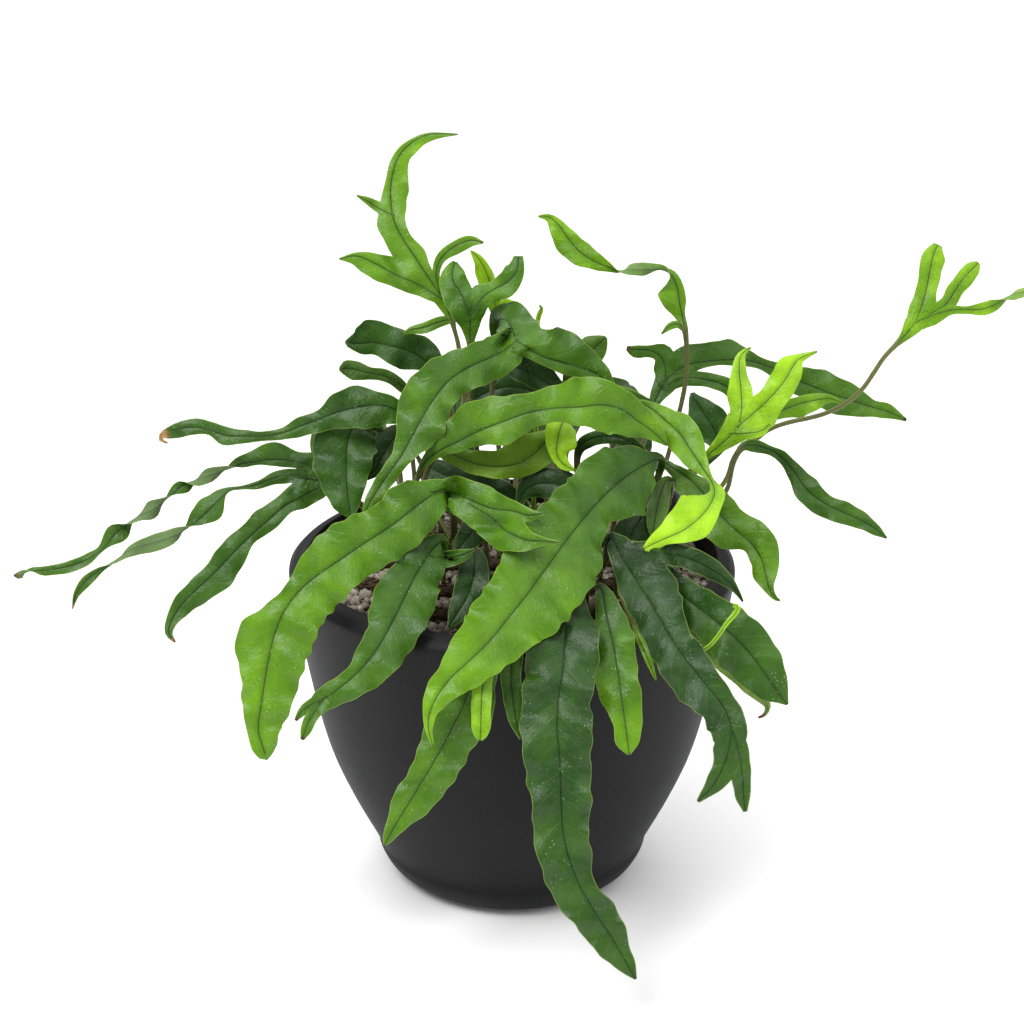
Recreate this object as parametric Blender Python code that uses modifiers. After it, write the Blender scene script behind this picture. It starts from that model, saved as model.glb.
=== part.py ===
"""Kangaroo paw fern in a round planter, +Z up, planter axis at the origin, metres.

The plant is laid out in a picture frame: a spot is named by how far right (u) and how
far up (v) it is seen from the front, and by how far it stands toward the viewer (w),
all in millimetres.  spot() turns that into a place in the room.
"""

import bpy
import bmesh
import math
from mathutils import Vector

MM = 0.001

# planter, in millimetres
POT_HEIGHT = 158.0
POT_FLOOR = 4.0
GRIT_TOP = 146.0
GAP = 0.3

# water level gauge, in millimetres
GAUGE_X = 76.8
GAUGE_Y = 34.0
GAUGE_RADIUS = 2.8
GAUGE_HEIGHT = 30.0

# viewpoint the fronds are laid out from
VIEW_DISTANCE = 1200.0
VIEW_RISE = math.radians(21.56)
VIEW_AIM_HEIGHT = 178.6

# rootstocks: (start x, end x, y at x = 0, slope, bend, radius)
ROOTSTOCKS = {
    "front": (-58.0, 64.0, -54.0, 0.02, 9.0, 3.4),
    "middle": (-72.0, 74.0, -26.0, 0.04, 6.0, 3.8),
    "centre": (-74.0, 78.0, 6.0, 0.03, 2.0, 3.8),
    "rear": (-66.0, 70.0, 38.0, -0.05, -3.0, 3.4),
}

STALK = 1.15

# Each frond: name, surface, (rootstock, x of its foot), trunk, lobes.
# A station is (u, v, w, width left, width right[, turn]); left is the left hand side of
# somebody walking from foot to tip, and turn (degrees) rolls the blade about its rib.
FRONDS = [
    ("frond_crown_tall", "young", ("rear", -22.0),
     [(-24.5, 76, -14, 1.1, 1.1), (-26.5, 84, -12, 1.1, 1.1), (-28, 89, -11, 2, 2),
      (-31.5, 97, -10, 4, 3), (-38, 107, -9, 6, 3), (-45, 117.5, -9, 8, 5.4),
      (-50, 125, -9, 8, 4), (-54, 133.5, -10, 7.9, 5.5), (-55.5, 143, -11, 4.5, 7.8),
      (-55, 152, -11, 2.8, 8), (-52.5, 161, -10, 2.8, 5.5), (-47, 168, -8, 2, 4.8),
      (-38, 172.6, -6, 1, 3.2), (-25, 172.7, -4, 0.4, 0.4)],
     [[(-54, 135.5, -10, 2, 2), (-61, 139, -9, 2.2, 3), (-66.5, 142.3, -8, 1.4, 2),
       (-71, 144.8, -7, 0.4, 0.4)],
      [(-31.5, 97, -10, 2.5, 2.5), (-42, 103.5, -7, 5, 5), (-54, 109, -5, 6, 7.5),
       (-63, 113.8, -4, 6.8, 4.8), (-71, 117, -3, 4.8, 2), (-79, 115.7, -2, 0.5, 0.5)],
      [(-32, 98, -10, 1.5, 1.5), (-34.2, 105, -6, 1.6, 1.6), (-34.5, 111, -4, 2, 1.8),
       (-32, 116.5, -2, 2.6, 2.4), (-26, 121.5, 0, 2.6, 3.8), (-19, 124.2, 1, 2.3, 3.2),
       (-13, 123.2, 2, 0.5, 0.5)],
      [(-27.6, 88, -11, 1.5, 1.5), (-33, 87, -13, 2.5, 2.6), (-40, 84.4, -14, 2.8, 2.4),
       (-46, 83.2, -15, 1.8, 1.8), (-50, 81.2, -15, 0.4, 0.4)]]),
    ("frond_crown_paw", "dark", ("rear", -13.0),
     [(-19.5, 70, -5, 1.2, 1.2), (-19, 77, -3, 1.8, 1.8), (-19, 83, -1, 4, 3.5),
      (-18.8, 90, 1, 8.5, 6), (-18.5, 94, 2, 9, 7)],
     [[(-19.5, 90, 1, 6, 5), (-23, 99, 2, 9, 5.5), (-27, 106, 2, 6.5, 6.5),
       (-27, 111, 1, 4, 5.2), (-26, 114.5, 0, 1.2, 1.2)],
      [(-18, 91, 1, 5, 5), (-13.5, 98, 3, 6.5, 5), (-8, 101.8, 4, 4, 6),
       (-1.5, 105.5, 5, 5.5, 6), (2.6, 111, 5, 5.4, 3.2), (3, 117, 4, 2.2, 2.2)]]),
    ("frond_crown_pale", "young", ("rear", -4.0),
     [(-4, 60, -42, 1.1, 1.1), (-6, 76, -40, 1.1, 1.1), (-7, 86, -36, 1.3, 1.3),
      (-7.5, 94, -31, 3.5, 3), (-9.5, 103, -26, 5.5, 3), (-12, 110, -22, 4.8, 2.8),
      (-15, 115.5, -19, 3, 2), (-18.8, 119.4, -17, 0.6, 0.6)],
     [[(-7.2, 90, -33.4, 2, 2), (-3.5, 95, -31, 2.5, 3), (-0.5, 94.5, -29, 2.4, 3.6),
       (2.4, 91.5, -28, 1, 1.6)]]),
    ("frond_wave_left", "dark", ("rear", -34.0),
     [(-31, 58, -32, 1.3, 1.3), (-34, 64, -29, 3, 3), (-40, 69.5, -27, 5.5, 9),
      (-48, 74, -25, 9.5, 8.5), (-56, 76, -24, 7.5, 9), (-63, 77.5, -23, 5.5, 10.5),
      (-69, 77, -21, 5, 9.6), (-74, 77.2, -19, 2.4, 6.4), (-76, 78.5, -18, 1.2, 1.2)], []),
    ("frond_curl_left", "olive", ("rear", -43.0),
     [(-44, 50, -24, 1.2, 1.2), (-50, 57, -20, 2.5, 2.5), (-57, 61.6, -17, 2.4, 3.4),
      (-65, 63.4, -15, 3, 3), (-72, 65.2, -14, 5.2, 4), (-76.5, 65.5, -13, 3, 4),
      (-79, 65.5, -12, 1, 1)], []),
    ("frond_arch_front", "mature", ("centre", -6.0),
     [(-7, 66, -26, 1.3, 1.3), (-8, 80, -20, 1.8, 1.8), (-6, 87.5, -10, 5, 5),
      (-3, 88, 2, 9, 8), (0, 83.5, 12, 12, 11), (2, 78, 20, 13, 11)],
     [[(3, 79, 19, 7, 7), (-6, 72.5, 26, 10, 9), (-18, 67, 31, 10.5, 9.5),
       (-28.5, 60.3, 35, 9, 12.5), (-36.5, 50.5, 38, 9.5, 14.5), (-42, 41.5, 40, 12, 12),
       (-46.5, 33, 42, 9, 7.5), (-51, 25, 44, 5, 4.5), (-57, 16.5, 46, 4.5, 4),
       (-62, 9, 47, 3.6, 3.6), (-66, 2, 48, 2.4, 2.4), (-68, -3, 48, 0.6, 0.6)],
      [(1, 79, 19, 7, 7), (7, 75, 22, 10.5, 4.5), (14, 71, 22, 14.5, 3.5),
       (22.5, 68.5, 21, 15, 5), (31, 66, 19, 11, 5), (39, 63, 17, 6.5, 5), (46, 57, 15, 2.2, 5),
       (54, 54, 12, 2.4, 3.2), (63, 51.2, 9, 0.5, 0.5)]]),
    ("frond_under_arch", "dark", ("centre", 4.0),
     [(-9, 56, -8, 1.2, 1.2), (-7, 64, -3, 2.2, 2.2), (1, 66.5, 2, 6, 5.5), (9.5, 63, 4, 8, 6),
      (18, 58, 5, 5.5, 4.5), (26, 54.5, 5, 1, 1)], []),
    ("frond_behind_arch", "olive", ("rear", 22.0),
     [(23, 52, -42, 1.2, 1.2), (27, 61, -36, 4, 4), (32, 69, -32, 6.5, 7),
      (37.5, 74.5, -29, 7, 6.5), (41, 78, -27, 4, 3.6), (43, 80, -26, 1, 1)], []),
    ("frond_sprout_tiny", "young", ("rear", 10.0),
     [(12, 70, -19, 0.8, 0.8), (12, 80, -18, 0.8, 0.8), (11.8, 86, -17, 1, 1),
      (12.6, 90, -16, 1.5, 1), (13.6, 93, -15, 0.9, 0.9), (12.6, 94.6, -14, 0.5, 0.5)], []),
    ("frond_centre_bright", "bright", ("centre", -28.0),
     [(-43, 16, 30, 1.3, 1.3), (-39.5, 23, 34, 2.4, 2.2), (-33, 28, 37, 5.5, 3),
      (-25, 32, 40, 10.5, 4.5), (-15, 37, 43, 14, 7), (-5, 41, 45, 12.5, 10.5),
      (8, 45.5, 46, 9, 7.5), (20, 47.5, 46, 10.5, 6.5), (31, 48, 46, 14, 9),
      (41, 49, 45, 12, 12.5), (50, 47, 43, 8.5, 12.5), (57, 42, 41, 7.5, 9),
      (64, 37, 39, 5.5, 4.5), (71, 30.5, 37, 0.6, 0.6)], []),
    ("frond_centre_olive", "olive", ("middle", -22.0),
     [(-38, 21, 16, 1.3, 1.3), (-34, 27, 19, 2.4, 2.4), (-27, 26, 21, 3.5, 4),
      (-18, 22.5, 24, 6, 5), (-8, 20.8, 26, 7.5, 5.4), (2, 22, 27, 10, 6.5),
      (10, 26.5, 26, 11, 8), (16.5, 33, 24, 6, 6.5), (20, 38, 22, 1.6, 1.6)], []),
    ("frond_centre_young", "young", ("middle", 20.0),
     [(25, 30, 10, 1.1, 1.1), (25.5, 40, 18, 1.6, 1.6), (24, 42, 25, 5, 5),
      (21.8, 37, 30, 8, 6.8), (20.5, 30, 32, 8.5, 4.8), (21, 25, 31.5, 5, 3),
      (24.5, 21, 31, 2.6, 2.2), (29, 19, 31, 0.6, 0.6)], []),
    ("frond_left_long", "mature", ("centre", -44.0),
     [(-47, 34, 4, 1.3, 1.3), (-48.5, 42, 8, 3.6, 3), (-54, 47, 10, 8, 5),
      (-61, 48.8, 11, 10.5, 6.2), (-70, 48, 11, 10, 10), (-79, 45.8, 11, 8, 8.6),
      (-88, 42.5, 10, 6, 4), (-96, 39.5, 9, 5, 4.4), (-104, 36.4, 9, 3.4, 2.6),
      (-113, 34.6, 8, 2.2, 2.4), (-122, 34.6, 8, 3.2, 3), (-131, 35, 7, 4.5, 4),
      (-138.5, 37.6, 6, 2.4, 4), (-146, 38.7, 5, 3.6, 4.2), (-153, 37.8, 4, 4, 3),
      (-159, 35.8, 3, 3, 1.8), (-160.5, 33, 4, 1, 1), (-157.5, 31.6, 5, 0.5, 0.5)], []),
    ("frond_left_hanging", "dark", ("centre", -53.0),
     [(-56, 30, -12, 1.2, 1.2), (-62, 39, -9, 2.5, 2.5), (-69, 42, -4, 8, 8),
      (-73.5, 37, 0, 12.5, 14), (-75.5, 29, 3, 13.5, 15.5), (-75.8, 20, 5, 11.2, 15),
      (-75.4, 11, 6, 8.6, 11), (-74.4, 3, 7, 5, 7.5), (-73.5, -3, 7, 1, 1)], []),
    ("frond_left_shadow", "dark", ("centre", -36.0),
     [(-46, 30, -14, 1.2, 1.2), (-50, 36, -12, 4, 4), (-55, 32.5, -9, 7.5, 7),
      (-59, 26, -7, 7, 6), (-62.5, 19.5, -6, 3.5, 3.5), (-68.5, 14.5, -6, 1, 1)], []),
    ("frond_left_paw", "shade", ("centre", -63.0),
     [(-66, 0, -10, 1.3, 1.3), (-74, 8, -10, 2.2, 2.2), (-82, 13, -9, 5, 5),
      (-90, 14.5, -8, 7.5, 7.5), (-97, 15.5, -8, 6, 6)],
     [[(-86, 17, -9, 3, 3), (-92, 21, -9, 3.5, 6.5), (-99, 23, -10, 3, 4.6),
       (-107, 24, -11, 3.4, 8), (-115, 23.5, -12, 2, 6.6), (-123, 22, -13, 2, 3.6, 20),
       (-130, 19.6, -13, 2.6, 2.6, 90), (-138.5, 16.6, -13, 3.6, 3.2, 180),
       (-145.5, 14.4, -13, 2.8, 2.8, 258), (-151, 11.8, -13, 3.6, 3.2, 345),
       (-157, 6.6, -12, 2.8, 2.8, 440), (-164, 1.2, -11, 4.2, 3.8, 535),
       (-172.5, -3, -10, 3, 3, 615), (-181, -9.6, -9, 5.2, 4.6, 715),
       (-188, -18, -8, 2.8, 2.8, 780), (-196, -22.6, -7, 3, 2.6, 735),
       (-205, -25.4, -6, 3, 2.4, 720), (-214, -26.8, -5, 2.4, 2, 725),
       (-221, -27.2, -4, 1.8, 1.8, 795), (-225, -29, -4, 2, 2, 880),
       (-228, -29, -4, 0.4, 0.4, 900)],
      [(-95, 16, -8, 3, 3), (-102, 17, -7, 4, 3), (-109, 15.4, -6, 3, 2.8),
       (-116, 12.6, -5, 2.2, 1.8), (-124, 10.8, -4, 1.6, 1.4, 40), (-130, 9, -4, 2.4, 2.4, 70),
       (-137, 2.4, -3, 6.6, 6.2, 10), (-143, -3.4, -3, 3.6, 5, 20),
       (-148.5, -7.4, -2, 2.4, 2.4, 90), (-156, -11.6, -2, 3.6, 3.4, 170),
       (-165, -14.4, -1, 3.8, 4.2, 180), (-173, -16.6, 0, 2.2, 3.4, 185),
       (-181, -21.8, 0, 2, 2, 255), (-189, -26.6, 1, 2, 1.8, 330),
       (-195.5, -32.2, 2, 2.8, 2.4, 350), (-199.5, -38, 2, 1.6, 1.4, 350),
       (-201, -44.5, 3, 0.3, 0.3, 350)],
      [(-88, 11, -7, 5, 5), (-96, 7, -4, 5.4, 8), (-104, 2.6, -2, 4.2, 5.4),
       (-112, -4.4, 0, 5, 7), (-120, -11.4, 1, 3.6, 6.2), (-128, -19.4, 2, 7, 7),
       (-135.5, -27.4, 2, 9, 5.4), (-143.5, -34.8, 2, 7.4, 5), (-150.5, -41.8, 2, 5.6, 4.6),
       (-155.6, -49.5, 3, 3.2, 2.8), (-157, -55.6, 4, 1.9, 1.6), (-154, -59.6, 5, 0.5, 0.5)]]),
    ("frond_front_left", "bright", ("middle", -31.0),
     [(-27, -8, 30, 1.4, 1.4), (-27.5, 3, 42, 1.8, 1.8), (-30, 10, 50, 4, 4),
      (-36, 8, 55, 9, 8), (-45, 1.5, 60, 13, 13.5), (-56, -7, 64, 14.5, 12),
      (-67, -14, 68, 14, 14), (-78, -21.5, 71, 13.8, 15), (-89, -29, 74, 16.5, 11.6),
      (-98, -37, 76, 17.5, 6.6), (-104.5, -46, 78, 18, 8.6), (-108.5, -56, 79, 18.4, 16.3),
      (-111, -66, 80, 17, 16), (-113, -77, 80, 15.6, 11), (-114.6, -88, 79, 13.6, 9.2),
      (-116, -99, 78, 10.6, 5.6), (-114, -107, 77, 7.4, 5.2), (-112.6, -111.5, 76, 3.4, 3.4)],
     [[(-36, 9, 54, 5, 5), (-27, 8.4, 58, 8, 8), (-18, 5, 62, 9, 9), (-9, 1.5, 67.4, 8.4, 7),
       (0, 0.6, 72.4, 5, 5), (7, -1.6, 76.6, 3.6, 3.2), (13.2, -0.8, 79, 0.8, 0.8)],
      [(-20, 4, 61.4, 6, 8), (-10, -2.4, 70, 8, 9), (-2, -9, 81.4, 8.5, 9.5),
       (6, -12.6, 88.6, 5.4, 6), (13, -13.4, 92, 2.4, 2.4), (22.5, -14, 95, 0.5, 0.5)]]),
    ("frond_front_forked", "mature", ("front", -40.0),
     [(-33, -24, 44, 1.4, 1.4), (-32, -14, 51, 3.5, 3.5), (-37, -18, 57, 8, 8),
      (-43.5, -28, 65.5, 12, 10.5), (-48.5, -38, 74, 14.5, 14), (-53.5, -48, 81, 14.5, 13),
      (-58, -56.5, 86, 13.5, 9), (-64, -66, 90, 12.5, 8), (-72, -74.8, 93, 10, 4.8),
      (-80.5, -81.8, 95, 7, 5.4), (-87, -86.6, 96, 5, 5.4), (-89, -88.6, 96.4, 4.8, 4)],
     [[(-84, -84, 95.6, 3.5, 3.5), (-92.6, -88.6, 97, 2.6, 2.6), (-96.4, -91.8, 97.6, 2, 2),
       (-99, -95.4, 98, 0.7, 0.7)],
      [(-86, -86, 96, 3.6, 3.6), (-91.6, -93.4, 97, 3.2, 3), (-94.4, -99.6, 98, 2.8, 2.4),
       (-96, -104.2, 98, 0.8, 0.8)],
      [(-39, -20, 58.6, 3, 3), (-30, -21, 60, 3.6, 4.4), (-23, -19.8, 62, 2.8, 3),
       (-16, -17, 64, 0.5, 0.5)]]),
    ("frond_front_broad", "bright", ("middle", 56.0),
     [(62, 4, 7, 1.4, 1.4), (67.4, 18, 16, 1.8, 1.8), (67.2, 23.6, 26, 3.2, 3.2),
      (62.5, 22.4, 33, 6, 6.5), (55, 18, 40, 14, 15), (46, 11, 48, 18.5, 18),
      (38, 3, 56, 10.5, 17), (30, -6.5, 65, 14.5, 18.5), (22, -17, 74, 21.5, 20),
      (14, -28, 82, 22, 20), (6, -39, 90, 21.5, 18), (-2, -49, 97, 18, 17),
      (-11, -60, 104, 14, 15.5), (-20, -68.5, 109, 12, 12), (-28, -76, 113, 9.6, 7.6),
      (-34, -84, 115, 6.2, 6.4), (-37.6, -92, 116, 3.4, 3.4), (-38.2, -99.4, 117, 2, 1.6),
      (-36.2, -107, 117, 0.5, 0.5)], []),
    ("frond_front_hanging", "mature", ("front", 20.0),
     [(26, -40, 52, 1.4, 1.4), (26.5, -34, 62, 3, 3), (26, -42, 73, 9, 9),
      (24.6, -52, 83, 14.5, 15.5), (24, -62, 90, 16, 17.5), (23, -74, 95, 15.5, 17),
      (21.2, -86, 98, 15, 16.6), (20.6, -98, 100, 16.6, 17), (21.6, -110, 101, 14.8, 16.6),
      (22.2, -122, 101, 14, 15.6), (22.6, -134, 101, 13.8, 13.4), (23.4, -147, 100, 11.6, 13.8),
      (26.6, -160, 98, 10.6, 13.6), (31.6, -172, 96, 6.8, 13.4), (38, -183, 93, 9.2, 11),
      (44.6, -193, 90, 8, 10), (50, -202, 88, 4.8, 7.4), (53.6, -208.4, 87, 3.4, 4.2),
      (56.6, -213.6, 86, 0.6, 0.6)], []),
    ("frond_front_strip", "shade", ("front", 8.0),
     [(6, -36, 62, 1.2, 1.2), (4, -45, 78, 3, 3), (1.6, -56, 87.4, 4.6, 4.6),
      (0, -66, 91, 5.2, 5), (-0.6, -76, 92, 4.8, 4.6), (0.6, -86, 93, 4.4, 4.4),
      (2, -95, 93, 3, 3.6), (4.2, -104, 93, 0.8, 0.8)], []),
    ("frond_front_low", "mature", ("front", -11.0),
     [(-6, -33, 58, 1.3, 1.3), (-7, -43, 74, 3, 3), (-11, -54, 87, 6, 6),
      (-14, -66, 93.4, 8, 8), (-18.4, -79, 96.4, 11.5, 11), (-23, -90, 98, 14.8, 14),
      (-29, -102, 98.6, 12.6, 12), (-35, -113, 98.4, 12.6, 9.4), (-41, -123, 98, 11.6, 7.6),
      (-47, -133, 97, 9.4, 8.2), (-52.4, -141.6, 96, 5.2, 5), (-56.6, -149, 95, 2.6, 2.6),
      (-58.2, -152.4, 95, 0.6, 0.6)], []),
    ("frond_front_tongue", "young", ("front", -1.0),
     [(-1, -36, 70, 1.1, 1.1), (-3, -50, 89, 2.4, 2.4), (-10, -64, 99.4, 4, 4),
      (-13.2, -77, 104, 4.5, 4.5), (-14, -88, 106, 4.6, 4.6), (-14.2, -98, 107, 4.4, 4.4),
      (-14.4, -102.4, 107, 3, 3), (-14.6, -104.4, 107, 1.2, 1.2)], []),
    ("frond_front_ribbon", "bright", ("front", 33.0),
     [(38, -34, 52, 1.3, 1.3), (41, -36, 64, 3.6, 3), (43, -46, 73, 7.6, 5),
      (45.4, -57, 79, 10.2, 6.4), (47.4, -67, 83, 9.6, 8), (49, -77, 86, 9, 11),
      (50.4, -87, 88, 9.2, 8.8), (51.8, -97, 89, 7.8, 5.4), (52.8, -105, 89, 5.8, 5.8),
      (53.6, -111, 89, 0.8, 0.8)], []),
    ("frond_front_sliver", "young", ("front", 46.0),
     [(51, -42, 60, 0.9, 0.9), (55, -51, 70, 1.6, 1.4), (59, -60, 76, 2.2, 1.6),
      (62.4, -68, 79, 2, 1.5), (65.8, -77, 80, 0.4, 0.4)], []),
    ("frond_right_forked", "shade", ("middle", 40.0),
     [(43, -22, 44, 1.4, 1.4), (45, -12, 52, 3, 3), (51, -22, 62, 10, 6),
      (58.6, -34, 71, 15.5, 10), (66, -46, 78, 13.6, 10.8), (73, -58, 84, 9, 12),
      (80, -68, 88, 9.6, 13.2), (88, -78, 91, 8, 13.6), (96, -88, 93, 6.8, 10.6),
      (100, -97, 94, 7.4, 11), (100.4, -103, 94, 7, 9)],
     [[(100.2, -100, 94, 6.6, 6), (99, -109, 93, 8, 7), (96.4, -117, 92, 7, 5),
       (92, -125, 91, 4, 4), (85, -132.4, 89, 0.8, 0.8)],
      [(101, -100, 94, 5, 5), (104, -111, 92, 4.6, 5), (105.4, -121, 90, 4, 5),
       (106, -130, 89, 3, 4), (106.6, -137, 88, 1, 1)],
      [(48, -16, 56, 3, 3), (57, -17.6, 58, 4.4, 5), (67, -18.6, 59, 5.4, 5.4),
       (77, -20.2, 60, 5.4, 5), (87, -24, 60, 5.4, 5), (95.6, -29.2, 59, 4, 3.8),
       (101.8, -35, 58, 1.8, 1.8), (105.6, -41, 57, 0.5, 0.5)]]),
    ("frond_right_hanging", "dark", ("middle", 64.0),
     [(63, -18, 36, 1.3, 1.3), (65.4, -23, 45, 3.2, 3), (71, -31.6, 54, 6.4, 5),
      (79, -39, 62, 8.4, 8), (88, -46, 67, 10, 10), (97.4, -53.4, 70, 12, 12),
      (106.4, -62, 71, 12.4, 14), (113.6, -71, 71, 11, 12), (119.4, -79.4, 70, 7.6, 9),
      (124, -85.6, 69, 3, 3), (126, -88, 69, 0.7, 0.7)], []),
    ("frond_right_under", "olive", ("middle", 67.5),
     [(72, -24, 32, 1.2, 1.2), (76, -32, 44, 2.4, 2.4), (81.6, -42, 54, 4.4, 5),
      (88, -53, 57, 5.6, 8), (96, -63.6, 57, 6, 7.6), (104.4, -73, 56, 5.6, 6),
      (112, -82, 55, 4, 4), (116.8, -88.4, 54, 1.6, 1.6), (115.6, -92.6, 54.6, 0.9, 0.9),
      (112.6, -94, 55, 0.5, 0.5)], []),
    ("frond_sprout_crozier", "young", ("front", 58.5),
     [(64, -34, 56, 0.9, 0.9), (70, -45, 66, 0.9, 0.9), (77, -57, 74, 0.9, 0.9),
      (84, -63.6, 79, 1, 1), (90, -61.4, 81, 1, 1), (94.4, -56.4, 82, 1, 1),
      (98.6, -50.4, 82, 1.1, 1.1), (102, -46.6, 82, 1.4, 1.4), (103.4, -43.4, 82.5, 1.3, 1.3),
      (101, -42.6, 83.5, 0.9, 0.9)], []),
    ("frond_right_twisted", "young", ("centre", 38.0),
     [(50, 38, 6, 1.2, 1.2), (56, 49, 14, 1.4, 1.4), (63, 47.6, 23, 3, 4), (70, 42, 29, 6.4, 8),
      (77, 35.4, 34, 9, 7.8), (82.4, 27.4, 39, 6.6, 7), (87, 20.4, 43, 3.6, 4),
      (91, 14.6, 47, 1.4, 1.4), (92.6, 8.6, 51, 5, 3), (90, 2.4, 55, 5.4, 10.5),
      (85, -3.4, 59, 8.4, 12.8), (78, -8.6, 62, 6.2, 10.6), (70.4, -12, 64, 3, 6.6),
      (64, -15, 65, 3.4, 3.4), (60.4, -16.8, 65, 1.2, 1.2)], []),
    ("frond_right_small", "olive", ("centre", 52.0),
     [(71, 2, -6, 1.1, 1.1), (73, 12, 2, 1.3, 1.3), (71, 14.4, 10, 2.4, 2.4),
      (68.4, 9.6, 19, 4.4, 4), (66.4, 2, 27, 5, 4.6), (65, -6, 33, 3.6, 3.6),
      (64.2, -12, 36, 0.8, 0.8)], []),
    ("frond_right_drooping", "mature", ("centre", 62.0),
     [(66, 14, -12, 1.2, 1.2), (69, 22, -4, 1.5, 1.5), (74, 19.6, 4, 2.6, 3.4),
      (81, 15, 11, 3.6, 8), (88, 8, 17, 8, 9), (95, -1, 21, 9, 12), (102, -8, 24, 9, 11),
      (109, -14, 26, 11, 5), (114, -21.4, 28, 9, 5.2), (116, -28.4, 29, 5.8, 6),
      (117.4, -34.4, 30, 2.6, 3), (120, -39, 31, 1.3, 1.3), (122.6, -40.6, 31, 0.5, 0.5)], []),
    ("frond_right_bright_paw", "young", ("rear", 41.0),
     [(70, 10, -30, 1.1, 1.1), (79, 17, -22, 1.1, 1.1), (88, 24.6, -14, 1.5, 1.5),
      (94, 29.6, -10, 3.4, 3), (100, 35, -8, 5.6, 5.4), (104, 40, -7, 7, 8)],
     [[(103.6, 38, -8, 4.4, 5), (105, 47, -7, 5.6, 5), (104.8, 55, -7, 6.4, 5.2),
       (104, 63, -8, 4, 3.6), (104.2, 70, -9, 2.4, 2.6), (106.6, 73.6, -10, 1.2, 1.2),
       (109.4, 75.2, -10, 0.4, 0.4)],
      [(103, 39, -8, 5, 6), (111.4, 46, -6, 6, 10.2), (118.4, 52.6, -4, 5.6, 7.6),
       (124.6, 60, -3, 7, 6.6), (128.6, 66.6, -2, 6.6, 5), (132, 70.4, -2, 2.4, 2.2),
       (139.6, 73.4, -1, 0.5, 0.5)],
      [(100, 35.6, -8, 3, 3), (107.6, 36, -7, 3, 2.8), (113.6, 37, -6, 3, 2.6),
       (118, 40, -6, 0.8, 0.8)]]),
    ("frond_far_right", "young", ("rear", 62.0),
     [(76, 0, -48, 1.1, 1.1), (89, 5, -53, 1.1, 1.1), (97.4, 14, -54, 1.1, 1.1),
      (101.4, 24.6, -52, 1.1, 1.1), (106, 31, -50, 1.1, 1.1), (112, 33.6, -48, 1.1, 1.1),
      (117, 37.4, -45, 1.1, 1.1), (125, 40.6, -42, 1.1, 1.1), (134, 42.6, -39, 1.1, 1.1),
      (143, 45, -36, 1.1, 1.1), (152, 49.4, -33, 1.1, 1.1), (160, 56, -30, 1.1, 1.1),
      (165.4, 63.6, -28, 1.1, 1.1), (170.4, 71, -26, 1.1, 1.1), (175.6, 76.4, -25, 1.3, 1.3),
      (180, 81, -24, 2.6, 2.6), (184, 86, -24, 5, 4.6)],
     [[(183, 84.6, -24, 3.6, 4), (187, 93, -24, 5.4, 7), (189.4, 101.4, -24, 4.6, 5),
       (191, 109.6, -24, 5, 5.4), (192.6, 117, -24, 5, 5.6), (194.8, 122.4, -24, 2, 2)],
      [(191, 90.4, -24, 3, 3), (198.4, 95, -25, 3.4, 4), (202.6, 101, -25, 4, 3.6),
       (206.6, 107, -25, 3.6, 4.6), (211, 111.6, -25, 3.6, 3.6), (213.4, 114, -25, 1, 1)],
      [(184, 86.4, -24, 4, 4), (192, 89.8, -24, 3.6, 4.6), (200, 92.2, -25, 2.4, 2.4),
       (207, 92.8, -25, 2, 2, 30), (214, 92.6, -25, 3, 2.8, 0), (220, 94.4, -25, 3, 3, 10),
       (225, 97.8, -25, 2, 2, 80), (231, 100, -25, 2.6, 2.4, 150), (237, 100.6, -25, 2, 2, 160),
       (243, 99, -25, 0.5, 0.5, 170)]]),
    ("frond_right_drop", "shade", ("centre", 71.0),
     [(81, -2, -31, 1.1, 1.1), (92, 2, -37, 1.1, 1.1), (98.6, 11, -39, 1.1, 1.1),
      (101.2, 22, -39, 1.1, 1.1), (105, 29.4, -38, 1.8, 1.8), (110.4, 30.4, -38, 3, 3.2),
      (117, 28.8, -38, 2, 2.6), (123, 25, -37, 3.2, 2.2), (129, 18.4, -36, 4, 3.6),
      (135, 10, -35, 6.4, 6), (143, 4, -34, 4.4, 6.4), (152, -0.4, -33, 5.2, 5.4),
      (160.6, -4.4, -32, 4, 3.8), (166.6, -8, -31, 2.2, 3), (171.4, -12, -31, 0.5, 0.5)], []),
    ("frond_upper_right", "shade", ("rear", 28.0),
     [(60, 32, -62, 1.3, 1.3), (63, 44, -64, 1.6, 1.6), (65.4, 50.6, -65, 3, 2.8),
      (68, 55.6, -66, 4.4, 4.4), (71, 60.6, -67, 6, 6)],
     [[(70.2, 57.6, -66.3, 3.6, 3), (70, 66, -66, 5.4, 5.6), (67.4, 71.6, -66, 3, 6),
       (62, 74, -65, 3.4, 2.4), (56, 74.2, -64, 3.6, 2), (52.4, 75, -64, 1, 1)],
      [(69.2, 58.8, -67.4, 4.6, 3.6), (76, 65, -68, 8, 5.4), (83, 68, -69, 9, 4),
       (91, 69, -70, 8.6, 2.4), (99, 69.6, -71, 9.6, 2.6), (106, 69.4, -72, 6.2, 2.8),
       (113, 68, -72, 3, 2.6), (121, 65, -73, 3.6, 4), (130, 60.4, -73, 6.4, 6),
       (139, 56.8, -73, 9, 7), (148, 53.4, -73, 8.2, 8.4), (156, 50.8, -72, 7, 7.4),
       (164, 48.2, -72, 3.6, 5), (172, 45.8, -71, 3.6, 3.2), (180.4, 42, -70, 0.6, 0.6)],
      [(69.8, 57.2, -66.8, 2.6, 2.6), (79, 61.4, -68.2, 3.4, 4), (88, 60.6, -69, 3.4, 3.4),
       (96, 58.4, -69, 4, 3.4), (103, 53.6, -69, 4.4, 3.4), (109, 47.6, -68, 4, 3),
       (113.4, 42.6, -67, 0.8, 0.8)]]),
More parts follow.
